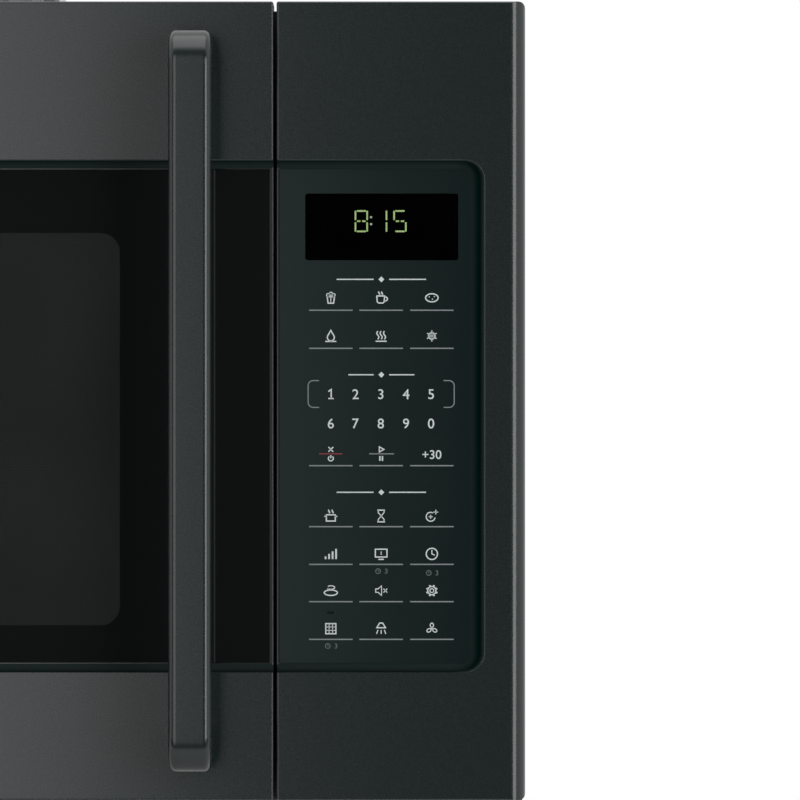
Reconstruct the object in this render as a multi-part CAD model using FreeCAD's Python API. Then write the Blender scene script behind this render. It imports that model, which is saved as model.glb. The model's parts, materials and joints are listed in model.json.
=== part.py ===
import FreeCAD, Part
import math
import os
from FreeCAD import Vector

# An over-the-range microwave oven, built as its separate pieces. The case hangs from the wall under
# a cupboard; the door covers the oven at the left and the full-height control panel is right of it.
# Millimetres. +X is to the right of someone facing the oven, +Y is towards the wall, +Z is up.
# The origin is the centre of the base: midway across, midway from the handle to the wall, lowest.

# ---------------------------------------------------------------- overall sizes
WIDTH = 759.0                 # door and control panel together
CASE_HEIGHT = 410.0
FRONT_LIFT = 2.0              # lower edge of the front above the base
FRONT_RISE = 3.0              # upper edge of the front above the top of the case
CASE_DEPTH = 355.0            # front plate to wall
CASE_INSET = 1.0              # each case side stands in from the end of the front
CASE_BEND = 3.0               # bend radius along the top of the case
DOOR_GAP = 4.0                # front plate to the back of the door
DOOR_THICKNESS = 38.0
HANDLE_REACH = 46.0           # handle beyond the door's face
SHEET = 1.0                   # case and oven sheet steel
FIT = 0.3                     # gap between pieces that slide or turn past each other
TURNING_FIT = 0.05            # pin or shaft in its hole, on the radius

REAR_Y = (CASE_DEPTH + DOOR_GAP + DOOR_THICKNESS + HANDLE_REACH) / 2
CHASSIS_Y = REAR_Y - CASE_DEPTH
DOOR_BACK_Y = CHASSIS_Y - DOOR_GAP
FRONT_Y = DOOR_BACK_Y - DOOR_THICKNESS
HANDLE_Y = FRONT_Y - HANDLE_REACH
LEFT_X, RIGHT_X = -WIDTH / 2, WIDTH / 2
CASE_X = WIDTH / 2 - CASE_INSET
INSIDE_X = CASE_X - SHEET
FRONT_Z = (FRONT_LIFT, CASE_HEIGHT + FRONT_RISE)

# ---------------------------------------------------------------- the front's styling
PANEL_WIDTH = 128.0
PANEL_GAP = 1.6               # door to control panel
EDGE_ROLL = 8.0               # rolled outer edges of door and panel
SOFT_EDGE = 1.0               # edges of door and panel beside the gap between them
CAP_EDGE = 1.0                # front edges along the top and the bottom
END_CORNER = 3.5              # corners of the front's outline at its two ends
GAP_CORNER = 1.2              # corners of door and panel beside the gap between them
SHELL = 2.0                   # wall of the moulded and pressed fronts
RECESS_LIFT = 66.2            # recessed band above the front's lower edge
RECESS_DROP = 81.7            # recessed band below the front's upper edge
RECESS_MARGIN = 21.0          # band's closed end to the end of the front
RECESS_CORNER = 10.3
RECESS_DEPTH = 4.0
RECESS_END_COVE = 10.0        # radius of the hollow at the band's closed end
RECESS_SIDE_COVE = 4.5        # radius of the hollow along its top and bottom
RECESS_RIM = 0.6              # rounded edge of the band
RECESS_STEPS = 6              # outlines through which the hollow is drawn
LEAST_CORNER = 1.0            # where an inset outline has used up its corner radius

PANEL_LEFT = RIGHT_X - PANEL_WIDTH
DOOR_RIGHT = PANEL_LEFT - PANEL_GAP
RECESS_Z = (FRONT_Z[0] + RECESS_LIFT, FRONT_Z[1] - RECESS_DROP)
RECESS_Y = FRONT_Y + RECESS_DEPTH

# ---------------------------------------------------------------- control panel
OVERLAY_THICKNESS = 0.3
OVERLAY_EDGE = 1.2            # bare strip beside the door gap
DISPLAY_INSET = 14.7          # display window from the panel's left edge
DISPLAY_DROP = 17.0           # display window below the top of the band
DISPLAY_WIDTH = 78.8
DISPLAY_HEIGHT = 34.4
DISPLAY_CORNER = 1.4
DISPLAY_CASE_INSET = 3.0      # display's case inside the window's outline
DISPLAY_BEZEL = 4.0           # rim of the case round its lit face
DISPLAY_FACE_SINK = 0.8       # lit face below the rim
LENS_FIT = 0.15
STANDOFF = 14.0               # panel wall to circuit board
BOARD_THICKNESS = 1.6
BOARD_MARGIN = 10.0           # board's edge inside the panel's edge
BOARD_END = 14.0              # board's ends inside the band's ends
TAIL_WIDTH = 20.0
TAIL_THICKNESS = 0.4
BOSS_RADIUS = 3.5
BOARD_HOLE_INSET = 4.5
BOARD_SCREW = 1.4             # radius
WIRING_HOLE = 60.0            # in the front plate behind the board
PARTS_INSET = 14.0            # outermost parts from the board's side
PARTS_LIFT = 20.0             # lowest parts from the board's lower end
SUPPLY_WIDTH = 38.0           # the board's own transformer
SUPPLY_HEIGHT = 32.0
SUPPLY_DEPTH = 14.0
SUPPLY_CAP = 2.0
RELAY_LIFT = 60.0             # relays from the board's lower end
RELAY_INSET = 60.0            # relays from the board's side
RELAY_WIDTH = 12.0
RELAY_HEIGHT = 28.0
RELAY_DEPTH = 16.0
RELAY_SPACE = 2.0
SMOOTHER_RADIUS = 5.0         # smoothing capacitors
SMOOTHER_DEPTH = 15.0
SOCKET_LIFT = 150.0           # wire sockets from the board's lower end
SOCKET_WIDTH = 18.0
SOCKET_HEIGHT = 8.0
SOCKET_DEPTH = 10.0
SOCKET_SPACE = 4.0
BUZZER_LIFT = 110.0
BUZZER_RADIUS = 7.0
BUZZER_DEPTH = 9.0
BOARD_SCREW_HEAD = 1.6        # height

DISPLAY_X = (PANEL_LEFT + DISPLAY_INSET, PANEL_LEFT + DISPLAY_INSET + DISPLAY_WIDTH)
DISPLAY_Z = (RECESS_Z[1] - DISPLAY_DROP - DISPLAY_HEIGHT, RECESS_Z[1] - DISPLAY_DROP)
PANEL_WALL_Y = RECESS_Y + SHELL
BOARD_Y = (PANEL_WALL_Y + STANDOFF, PANEL_WALL_Y + STANDOFF + BOARD_THICKNESS)
BOARD_X = (PANEL_LEFT + BOARD_MARGIN, RIGHT_X - BOARD_MARGIN)
BOARD_Z = (RECESS_Z[0] + BOARD_END, RECESS_Z[1] - BOARD_END)
TAIL_Z = BOARD_Z[0] + 8.0

# ---------------------------------------------------------------- oven cavity
CAVITY_MARGIN_LEFT = 41.5     # opening to the door's left edge
CAVITY_MARGIN_RIGHT = 42.1    # opening to the door's right edge
CAVITY_FLOOR = 62.0
ROOF_SPACE = 85.0             # above the cavity, for the blower
CAVITY_CORNER = 12.0
BACK_SPACE = 31.0             # cavity back to back plate
PORT_WIDTH = 60.0             # where the waveguide feeds the cavity
PORT_HEIGHT = 50.0
PORT_COVER_LAP = 9.0
PORT_COVER_THICKNESS = 1.0
LIGHT_HOLE = 1.6              # radius of the small holes in the cavity walls
LIGHT_PITCH = 5.5
LIGHT_GRID = (5, 5)           # holes along and up, for the lamp
STEAM_GRID = (12, 4)          # and for the steam to leave
LAMP_BACK = 52.0              # cavity lamp behind the front plate's inner face
LAMP_DROP = 34.0              # cavity lamp below the cavity's ceiling
BULB_BOX = 34.0               # outside of the bulb holder
BULB_BOX_DEPTH = 26.0
BULB_BOX_WALL = 2.0
BULB_RADIUS = 7.0
BULB_TIP = 8.0                # bulb's tip to the cavity's wall
BULB_DOME = 5.0

CAVITY_X = (LEFT_X + CAVITY_MARGIN_LEFT, DOOR_RIGHT - CAVITY_MARGIN_RIGHT)
CAVITY_Y = (CHASSIS_Y + SHEET, REAR_Y - SHEET - BACK_SPACE)
CAVITY_TOP = CASE_HEIGHT - ROOF_SPACE
CAVITY_Z = (CAVITY_FLOOR, CAVITY_TOP - SHEET)
SERVICE_X = (CAVITY_X[1] + SHEET, INSIDE_X)

# ---------------------------------------------------------------- turntable
TRAY_CLEARANCE = 5.0          # tray's rim to the nearest cavity wall
TRAY_THICKNESS = 4.5
TRAY_RIM_RISE = 9.0
TRAY_RIM_WIDTH = 5.0
TRAY_FOOT = 6.0               # flat underside beyond the rollers
TRAY_SWEEP = 3.5              # rise of the underside to the rim
ROLLER_RADIUS = 9.0
ROLLER_WIDTH = 7.0
ROLLER_EDGE = 1.5
ROLLER_COUNT = 3
TRACK_MARGIN = 44.0           # outer face of a roller inside the tray's rim
RING_WIDTH = 8.0
RING_HEIGHT = 6.0
AXLE_RADIUS = 1.8
AXLE_HEAD = 3.0               # radius
AXLE_HEAD_THICKNESS = 1.5
COUPLER_HUB = 10.0            # radius
COUPLER_ARM = 25.0
COUPLER_ARM_WIDTH = 8.0
COUPLER_ARM_HEIGHT = 7.0
COUPLER_LIFT = 1.0            # above the oven's floor
COUPLER_SOCKET = 8.0          # depth of the motor's shaft in the coupler
DRIVE_NUB = 3.0               # radius of the nubs under the tray
DRIVE_NUB_PATH = 18.0
DRIVE_NUB_DROP = 3.5
SHAFT_RADIUS = 3.5
FLOOR_HOLE = 8.0              # radius
MOTOR_RADIUS = 24.7
MOTOR_HEIGHT = 15.0
MOTOR_FLOOR = 3.0             # closed bottom of the motor under its shaft
MOTOR_EAR_REACH = 32.0
MOTOR_EAR_WIDTH = 10.0
MOTOR_EAR_HOLE = 2.1          # radius
MOTOR_SOCKET_WIDTH = 16.0     # where its wires plug in
MOTOR_SOCKET_REACH = 9.0

TABLE = ((CAVITY_X[0] + CAVITY_X[1]) / 2, (CAVITY_Y[0] + CAVITY_Y[1]) / 2)
TRAY_RADIUS = min(CAVITY_X[1] - CAVITY_X[0], CAVITY_Y[1] - CAVITY_Y[0]) / 2 - TRAY_CLEARANCE
AXLE_Z = CAVITY_FLOOR + FIT + ROLLER_RADIUS
TRAY_Z = AXLE_Z + ROLLER_RADIUS + FIT
ROLLER_OUT = TRAY_RADIUS - TRACK_MARGIN
ROLLER_IN = ROLLER_OUT - ROLLER_WIDTH
RING_OUT = ROLLER_IN - FIT
MOTOR_Z = (CAVITY_FLOOR - SHEET - MOTOR_HEIGHT, CAVITY_FLOOR - SHEET)
COUPLER_Z = (CAVITY_FLOOR + COUPLER_LIFT, TRAY_Z - FIT)

# ---------------------------------------------------------------- door
CHOKE_WIDTH = 24.0            # choke ring outside the cavity opening
COVER_LIP = 1.0               # choke cover beyond the choke ring
CHOKE_DEPTH = 13.0
COVER_THICKNESS = 4.0
COVER_GAP = 1.0               # choke cover to front plate
COVER_LAP = 8.0               # choke cover's inner edge inside the opening
FILM_THICKNESS = 0.6
SCREEN_THICKNESS = 0.5
SCREEN_LAP = 6.0
WINDOW_MARGIN_X = 37.0        # viewing window inside the cavity opening
WINDOW_MARGIN_Z = 30.0
GLASS_THICKNESS = 3.2
GLASS_EDGE = 2.0              # frame left beside the door's free edge
GLASS_LEDGE = 6.0
LEDGE_THICKNESS = 3.0
HANDLE_INSET = 42.0           # handle's middle from the door's free edge
HANDLE_WIDTH = 22.0
HANDLE_BAR = 14.0
HANDLE_POST = 22.0
HANDLE_END = 16.0             # handle's ends inside the door's ends
HANDLE_BEND = 18.0
HANDLE_EDGE = 4.0
HANDLE_SCREW = 2.2            # radius
HANDLE_SCREW_LENGTH = 20.0
HANDLE_SCREW_HEAD = 2.6
HANDLE_SCREW_SPARE = 0.2
COVER_CORNER = 2.5

CHOKE_COVER_Y = (CHASSIS_Y - COVER_GAP - COVER_THICKNESS, CHASSIS_Y - COVER_GAP)
CHOKE_Y = (CHOKE_COVER_Y[0] - CHOKE_DEPTH, CHOKE_COVER_Y[0])
GLASS_Y = (RECESS_Y - OVERLAY_THICKNESS, RECESS_Y - OVERLAY_THICKNESS + GLASS_THICKNESS)
WINDOW_X = (CAVITY_X[0] + WINDOW_MARGIN_X, CAVITY_X[1] - WINDOW_MARGIN_X)
WINDOW_Z = (CAVITY_Z[0] + WINDOW_MARGIN_Z, CAVITY_Z[1] - WINDOW_MARGIN_Z)
HANDLE_X = DOOR_RIGHT - HANDLE_INSET
HANDLE_Z = (FRONT_Z[0] + HANDLE_END, FRONT_Z[1] - HANDLE_END)

# ---------------------------------------------------------------- hinges and latch
HINGE_INSET = 7.0             # hinge pins from the door's left face and from its back
HINGE_PIN = 2.5               # radius
HINGE_PIN_LENGTH = 16.0
HINGE_PLATE = 2.5
HINGE_SLOT_SPARE = 0.5        # above and below the plate in the door's slot
HINGE_SLOT_RADIUS = 20.0
HINGE_END = 14.0              # hinge plates inside the door's ends
HINGE_FLANGE = 24.0
HINGE_OUT = 5.5               # hinge plate's outer edge from the pin
HINGE_IN = 8.0                # hinge plate's inner edge from the pin
HINGE_FRONT = 5.0             # hinge plate's front edge from the pin
HINGE_ROUND = 4.5
HINGE_BLOCK = 34.0            # solid end of the door's hinge stile
STILE = 16.0

HINGE_X = LEFT_X + HINGE_INSET
HINGE_Y = DOOR_BACK_Y - HINGE_INSET

LATCH_INSET = 7.5             # latch bar's middle from the door's free edge
LATCH_WIDTH = 6.0
LATCH_HEIGHT = 150.0
LATCH_BAR = 9.0
HOOK_SPREAD = 118.0           # between the two hooks
HOOK_RISE = 8.0
HOOK_BARB = 3.5
HOOK_REACH = 22.0             # hook's tip behind the front plate
HOOK_NOSE = 7.0               # sloping nose of a hook, with its barb
BARB_LENGTH = 3.0
HOOK_TIP_RISE = 2.0
LATCH_DEPTH = 14.0            # bar's front face from the door's back
BRACKET_END = 5.0             # bracket behind the hooks' tips
SPINE_DOWN = 30.0             # spine below the lower hook
SPINE_UP = 40.0               # spine above the upper hook
SWITCH_GAP = 4.0              # switches behind the front plate
SWITCH_DEPTH = 16.0
SWITCH_HEIGHT = 28.0
SWITCH_THICKNESS = 10.0
SWITCH_TAB = 6.0
SWITCH_TAB_WIDTH = 3.0
SWITCH_TAB_INSET = 3.0
SWITCH_TAB_THICKNESS = 2.0
SWITCH_DROPS = (26.0, -46.0)  # lower two switches below the lower hook
SWITCH_RISE = 8.0             # upper switch above the upper hook
LATCH_LIFT = 4.0
LATCH_SPARE = 1.5
CATCH_DROP = 0.5              # catch below the underside of a hook
BRACKET_WALL = 2.0
GUIDE_BLOCK = 8.0             # height of a block that guides the latch
GUIDE_SHELF = 3.0             # thickness of the shelf over the spring
LATCH_GUIDE_SPACING = 70.0
GUIDE_WALL = 2.2
SPRING_WIRE = 0.4             # radius
SPRING_RADIUS = 2.2
SPRING_LENGTH = 24.0
SPRING_TURNS = 8

LATCH_X = DOOR_RIGHT - LATCH_INSET
LATCH_Z = (CAVITY_Z[0] + CAVITY_Z[1]) / 2
HOOK_Z = (LATCH_Z - HOOK_SPREAD / 2, LATCH_Z + HOOK_SPREAD / 2)
LATCH_BAR_Y = (DOOR_BACK_Y - LATCH_DEPTH, DOOR_BACK_Y - LATCH_DEPTH + LATCH_BAR)
HOOK_TIP_Y = CHASSIS_Y + HOOK_REACH
LATCH_TOP = LATCH_Z + LATCH_HEIGHT / 2

# ---------------------------------------------------------------- ventilation
GRILLE_DEPTH = 62.0
GRILLE_END = 20.0             # grille's ends inside the case sides
GRILLE_THICKNESS = 3.0
GRILLE_RIM = 7.0
GRILLE_SLOT = 5.2
GRILLE_BAR = 4.2
CHARCOAL_WIDTH = 300.0
CHARCOAL_THICKNESS = 14.0
CHARCOAL_RIM = 6.0
CHARCOAL_GAP = 4.0            # cartridge behind the grille
CHARCOAL_SINK = 2.0           # granules below the cartridge's faces
FILTER_WIDTH = 195.0
FILTER_DEPTH = 130.0
FILTER_THICKNESS = 9.0
FILTER_RIM = 7.0
FILTER_LIFT = 0.6             # filter's face above the base
FILTER_FIT = 0.6
FILTER_SIDE_GAP = 33.0        # to the side of the case
FILTER_SETBACK = 123.5        # behind the front plate
FILTER_RING = 11.0            # radius of the pull ring
FILTER_RING_WIDTH = 2.0
FILTER_RING_RISE = 0.4        # pull ring's underside above the rim's
FILTER_PAD_RISE = 2.5         # pad's underside above the rim's
FILTER_PAD_DROP = 2.0
DUCT_WIDTH = 254.0            # exhaust duct outlet, 10 by 3 1/4 inches
DUCT_DEPTH = 82.5
DUCT_WALL_GAP = 20.0          # outlet to the wall
DUCT_RISE = 24.0
DUCT_FLANGE = 10.0
FLAP_THICKNESS = 1.0
FLAP_PIN = 1.5                # radius
FLAP_LIFT = 4.0               # flap above the case
FOOT_RISE = 3.0               # scroll's foot above the lowest point of the scroll
SCROLL_GAP = 2.0              # blower housing above the cavity
SCROLL_WIDTH = 84.0
SCROLL_INLET = 24.0           # radius
WHEEL_GAP = 4.0
WHEEL_BLADE = 7.0             # depth of a blade
WHEEL_BLADES = 24
WHEEL_END_GAP = 5.0
BLOWER_SHAFT = 3.0            # radius
BLOWER_MOTOR_END_GAP = 6.0
BLOWER_MOTOR_GAP = 6.0        # motor's radius under the scroll's
BLOWER_FOOT_INSET = 4.0
WHEEL_HUB_RING = 2.0
WHEEL_DISC_SPARE = 1.5        # middle disc beyond the blades' inner edges
WHEEL_BLADE_THICKNESS = 0.9
WHEEL_BLADE_LAP = 0.5

FILTER_Y = (CHASSIS_Y + FILTER_SETBACK, CHASSIS_Y + FILTER_SETBACK + FILTER_DEPTH)
FILTER_END = INSIDE_X - FILTER_SIDE_GAP
FILTER_Z = (FILTER_LIFT, FILTER_LIFT + FILTER_THICKNESS)
DUCT_Y = (REAR_Y - DUCT_WALL_GAP - DUCT_DEPTH, REAR_Y - DUCT_WALL_GAP)
BLOWER_Y = (DUCT_Y[0] + DUCT_Y[1]) / 2
SCROLL_RADIUS = min((ROOF_SPACE - SHEET - SCROLL_GAP) / 2, DUCT_DEPTH / 2 - SHEET)
BLOWER_Z = CAVITY_TOP + SCROLL_GAP + SCROLL_RADIUS
WHEEL_RADIUS = SCROLL_RADIUS - SHEET - WHEEL_GAP
SCROLL_X = (DUCT_WIDTH / 2 - SCROLL_WIDTH, DUCT_WIDTH / 2)

# ---------------------------------------------------------------- cooktop lights in the base
LAMP_WIDTH = 136.0
LAMP_DEPTH = 56.0
LAMP_SETBACK = 23.5           # behind the front plate
LAMP_GLASS = 2.4
LAMP_LIFT = 0.5
LAMP_FIT = 0.8
LAMP_BOX_HEIGHT = 30.0
LAMP_PIN = 1.2                # radius
LAMP_PIN_LENGTH = 1.8
LAMP_PIN_INSET = 6.0          # from the cover's rear edge
LAMP_PIN_RISE = 2.5           # above the cover's underside
LAMP_LUG = 4.0
LAMP_SPACING = 68.0           # between the two lamps
LAMP_BODY_WIDTH = 40.0
LAMP_BODY_DEPTH = 30.0
LAMP_BODY_HEIGHT = 6.0
LAMP_DOME = 7.0               # radius
LAMP_BOX_WALL = 1.5
LAMP_GLASS_CORNER = 0.6

LAMP_X = (-LAMP_WIDTH / 2, LAMP_WIDTH / 2)
LAMP_Y = (CHASSIS_Y + LAMP_SETBACK, CHASSIS_Y + LAMP_SETBACK + LAMP_DEPTH)
LAMP_Z = (LAMP_LIFT, LAMP_LIFT + LAMP_GLASS)
LAMP_HINGE = (LAMP_Y[1] - LAMP_PIN_INSET, LAMP_LIFT + LAMP_PIN_RISE)

# ---------------------------------------------------------------- microwave parts
SHELF_Z = 45.0                # top of the component shelf
SHELF_FLANGE = 30.0
GUIDE_DEPTH = 32.0            # waveguide out from the cavity
GUIDE_LENGTH = 110.0
GUIDE_HEIGHT = 80.0
GUIDE_SETBACK = 143.5         # waveguide's middle behind the front plate
GUIDE_DROP = 90.0             # waveguide's middle below the cavity's top
GUIDE_FLANGE = 6.0
PORT_OFFSET = 22.0            # cavity port ahead of the waveguide's middle
ANTENNA_OFFSET = 24.0         # magnetron's antenna behind the waveguide's middle
ANTENNA_RADIUS = 8.0
ANTENNA_REACH = 18.0          # into the waveguide
ANTENNA_GAP = 2.0             # to the edge of its hole
MAGNETRON_WIDTH = 74.0
MAGNETRON_DEPTH = 92.0
MAGNETRON_HEIGHT = 76.0
MAGNETRON_PLATE = 1.5
MAGNETRON_ANODE = 20.0        # radius
MAGNETRON_FINS = 9
FIN_THICKNESS = 0.8
FIN_INSET = 4.0
FILTER_BOX_WIDTH = 30.0       # the magnetron's terminal box
FILTER_BOX_INSET_Y = 14.0
FILTER_BOX_INSET_Z = 12.0
TRANSFORMER_WIDTH = 95.0
TRANSFORMER_DEPTH = 66.0
TRANSFORMER_HEIGHT = 78.0
TRANSFORMER_SETBACK = 95.5    # its middle behind the front plate
TRANSFORMER_CORE_INSET = 11.0
TRANSFORMER_COIL_INSET_X = 16.0
TRANSFORMER_COIL_INSET_Z = 14.0
TRANSFORMER_COIL_CORNER = 8.0
TRANSFORMER_FOOT = 8.0
TRANSFORMER_FOOT_THICKNESS = 2.0
CAPACITOR_WIDTH = 52.0
CAPACITOR_DEPTH = 32.0
CAPACITOR_HEIGHT = 88.0
CAPACITOR_SIDE_GAP = 15.2     # to the cavity's wall
CAPACITOR_SETBACK = 193.5     # its middle behind the front plate
CAPACITOR_POST = 4.0          # radius
CAPACITOR_POST_HEIGHT = 8.0
CAPACITOR_POST_SPACING = 24.0
DIODE_RADIUS = 3.5
DIODE_LENGTH = 20.0
DIODE_GAP = 12.0              # to the capacitor
FAN_WALL_GAP = 20.5           # fan motor to the back plate
FAN_DROP = 93.0               # fan's middle below the cavity's top
FAN_RADIUS = 52.0
FAN_TIP_GAP = 3.0
FAN_DEPTH = 26.0
FAN_BLADES = 5
FAN_HUB = 15.0                # radius
FAN_HUB_INSET = 6.0           # hub's faces inside the shroud's mouth
FAN_SHAFT = 2.5               # radius
FAN_BLADE_WIDTH = 26.0
FAN_BLADE_THICKNESS = 1.4
FAN_BLADE_PITCH = 24.0        # degrees
FAN_BLADE_ROOT = 2.0          # blade sunk into the hub
FAN_MOTOR_RADIUS = 23.0
FAN_MOTOR_DEPTH = 24.0
FAN_MOTOR_WALL = 4.0          # closed end of the motor behind its shaft
SHROUD_WALL = 1.5
SHROUD_MARGIN = 12.0          # shroud to the cavity and to the case
SHROUD_TOP = 14.0             # above the fan
SHROUD_ARM = 3.0              # thickness of the motor's arms
SHROUD_ARM_WIDTH = 12.0

GUIDE_CENTRE_Y = CHASSIS_Y + GUIDE_SETBACK
GUIDE_CENTRE_Z = CAVITY_TOP - GUIDE_DROP
PORT_CENTRE_Y = GUIDE_CENTRE_Y - PORT_OFFSET
ANTENNA_Y = GUIDE_CENTRE_Y + ANTENNA_OFFSET
TRANSFORMER_CENTRE_Y = CHASSIS_Y + TRANSFORMER_SETBACK
CAPACITOR_X = (SERVICE_X[0] + CAPACITOR_SIDE_GAP, SERVICE_X[0] + CAPACITOR_SIDE_GAP + CAPACITOR_WIDTH)
CAPACITOR_CENTRE_Y = CHASSIS_Y + CAPACITOR_SETBACK
FAN_Y = REAR_Y - SHEET - FAN_WALL_GAP - FAN_MOTOR_DEPTH - FAN_DEPTH
FAN_CENTRE_Z = CAVITY_TOP - FAN_DROP
GUIDE_Y = (GUIDE_CENTRE_Y - GUIDE_LENGTH / 2, GUIDE_CENTRE_Y + GUIDE_LENGTH / 2)
GUIDE_Z = (GUIDE_CENTRE_Z - GUIDE_HEIGHT / 2, GUIDE_CENTRE_Z + GUIDE_HEIGHT / 2)
GUIDE_X = (SERVICE_X[0], SERVICE_X[0] + GUIDE_DEPTH)
SERVICE_MID = (SERVICE_X[0] + SERVICE_X[1]) / 2

# ---------------------------------------------------------------- mounting
HOOK_SLOT_SPACING = 300.0     # slots that drop over the wall plate's tabs
HOOK_SLOT_LENGTH = 40.0
HOOK_SLOT_RADIUS = 3.5
HOOK_SLOT_Z = 40.0
VENT_SLOTS = 9                # outlet of the cooling fan, in the back
VENT_PITCH = 10.0
VENT_SLOT = 4.0
VENT_LENGTH = 70.0
INTAKE_SLOTS = 10             # inlet of the cooling air, in the base
INTAKE_PITCH = 11.0
INTAKE_SLOT = 4.0
INTAKE_LENGTH = 44.0
INTAKE_SETBACK = 18.0         # behind the grease filter
SIDE_SCREW_SHARES = (0.08, 0.5, 0.92)  # of the case's depth
TOP_BOLT_SPACING = 560.0      # holes for the bolts down through the cupboard
TOP_BOLT_RADIUS = 3.6
TOP_BOLT_WALL_GAP = 161.5     # holes to the wall
CORD_SIDE_GAP = 47.5          # cord's hole to the side of the case
CORD_WALL_GAP = 51.5          # cord's hole to the wall
CORD_BORE = 4.5
BUSH_RADIUS = 10.0
BUSH_FLANGE = 13.0
BUSH_FLANGE_THICKNESS = 2.5
BUSH_LENGTH = 12.0
SCREW_RADIUS = 1.8
SCREW_HEAD = 3.8
SCREW_HEAD_THICKNESS = 0.8
SCREW_LENGTH = 6.0
BASE_FLANGE = 14.0
SCREW_Z = 7.0

TOP_BOLT_Y = REAR_Y - TOP_BOLT_WALL_GAP
CORD_X = INSIDE_X - CORD_SIDE_GAP
CORD_Y = REAR_Y - CORD_WALL_GAP


# ---------------------------------------------------------------- shapes
def box(x, y, z):
    """A block between two values on each axis."""
    return Part.makeBox(x[1] - x[0], y[1] - y[0], z[1] - z[0], Vector(x[0], y[0], z[0]))


def rod(axis, centre, radius, reach):
    """A round bar along axis; centre is its place on the other two axes, in X, Y, Z order."""
    start = {
        "x": Vector(reach[0], *centre),
        "y": Vector(centre[0], reach[0], centre[1]),
        "z": Vector(*centre, reach[0]),
    }[axis]
    direction = Vector(*(float(name == axis) for name in "xyz"))
    return Part.makeCylinder(radius, reach[1] - reach[0], start, direction)


def ring(axis, centre, outer, inner, reach):
    """A round bar with a hole right through it."""
    return rod(axis, centre, outer, reach).cut(rod(axis, centre, inner, reach))


def around(middle, size):
    """The two ends of a length about its middle."""
    return (middle - size / 2, middle + size / 2)


def grown(reach, amount):
    """A length with the same amount added at both ends."""
    return (reach[0] - amount, reach[1] + amount)


def spaced(middle, count, pitch):
    """Places in a row about its middle."""
    return [middle + (number - (count - 1) / 2) * pitch for number in range(count)]


def middle(reach):
    return (reach[0] + reach[1]) / 2


def mirrored(reach):
    """The same length on the other side of zero."""
    return (-reach[1], -reach[0])


def join(first, *others):
    return first.multiFuse(list(others)).removeSplitter()


def cut(body, *tools):
    return body.cut(list(tools))


TINY = 1e-4                   # lengths under this count as none


def near(a, b):
    return abs(a - b) < TINY


def rounded(body, radius, wanted):
    """Rounds the edges whose bounding box passes the test."""
    return body.makeFillet(radius, [edge for edge in body.Edges if wanted(edge.BoundBox)])


def along_y(b):
    return b.XLength < TINY and b.ZLength < TINY


def along_z(b):
    return b.XLength < TINY and b.YLength < TINY


def along_x(b):
    return b.YLength < TINY and b.ZLength < TINY


def prism(points, reach):
    """A solid with an outline of points across it and the vector reach along it."""
    corners = [Vector(*point) for point in points]
    return Part.Face(Part.makePolygon(corners + corners[:1])).extrude(Vector(*reach))


def turned(outline, centre):
    """A solid of revolution about an upright axis, from an outline of radius and height."""
    corners = [Vector(centre[0] + radius, centre[1], height) for radius, height in outline]
    face = Part.Face(Part.makePolygon(corners + corners[:1]))
    return face.revolve(Vector(*centre, 0), Vector(0, 0, 1), 360)


def turned_about(body, centre, angle, axis=(0, 0, 1)):
    """A copy turned in degrees about a line through centre."""
    copy = body.copy()
    copy.rotate(Vector(*centre), Vector(*axis), angle)
    return copy


def frame(x, y, z, rim):
    """A flat rectangular frame that lies across Y."""
    return cut(box(x, y, z), box(grown(x, -rim), grown(y, 1), grown(z, -rim)))


def hole_grid(axis, centre, radius, pitch, columns, rows, reach):
    """Rows and columns of round cutters."""
    cutters = []
    for column in range(columns):
        for row in range(rows):
            across = centre[0] + (column - (columns - 1) / 2) * pitch
            up = centre[1] + (row - (rows - 1) / 2) * pitch
            cutters.append(rod(axis, (across, up), radius, reach))
    return cutters


# ---------------------------------------------------------------- case
def filter_spans():
    """The X reach of the left and of the right grease filter."""
    right = (FILTER_END - FILTER_WIDTH, FILTER_END)
    return mirrored(right), right


def side_screw_places():
    """Y places of the screws along each lower side of the case."""
    return [CHASSIS_Y + CASE_DEPTH * share for share in SIDE_SCREW_SHARES]


def base_plate():
    pan = box((-INSIDE_X, INSIDE_X), (CHASSIS_Y, REAR_Y), (0, SHEET))
    rails, openings = [], []
    for x in ((-INSIDE_X, -INSIDE_X + SHEET), (INSIDE_X - SHEET, INSIDE_X)):
        rails.append(box(x, (CHASSIS_Y + SHEET, REAR_Y - SHEET), (0, BASE_FLANGE)))
    for x in filter_spans():
        hole_x, hole_y = grown(x, FILTER_FIT), grown(FILTER_Y, FILTER_FIT)
        rails.append(box(grown(hole_x, SHEET), grown(hole_y, SHEET), (0, FILTER_Z[1])))
        openings.append(box(hole_x, hole_y, (-1, FILTER_Z[1] + 1)))
    openings.append(box(grown(LAMP_X, LAMP_FIT), grown(LAMP_Y, LAMP_FIT), (-1, SHEET + 1)))
    intake_y = (FILTER_Y[1] + INTAKE_SETBACK, FILTER_Y[1] + INTAKE_SETBACK + INTAKE_LENGTH)
    for x in spaced(SERVICE_MID, INTAKE_SLOTS, INTAKE_PITCH):
        openings.append(box(around(x, INTAKE_SLOT), intake_y, (-1, SHEET + 1)))
    for side in (-1, 1):
        reach = sorted((side * (INSIDE_X - 2 * SHEET), side * (INSIDE_X + 1)))
        for y in side_screw_places():
            openings.append(rod("x", (y, SCREW_Z), SCREW_RADIUS, reach))
    return cut(join(pan, *rails), *openings)


def chassis_panel(y):
    """A sheet across the inside of the case, from the base plate up to the case's top."""
    panel = box((-INSIDE_X, INSIDE_X), y, (SHEET, CASE_HEIGHT - SHEET))
    top = CASE_HEIGHT - SHEET
    return rounded(panel, CASE_BEND - SHEET, lambda b: along_y(b) and near(b.ZMax, top))


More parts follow.
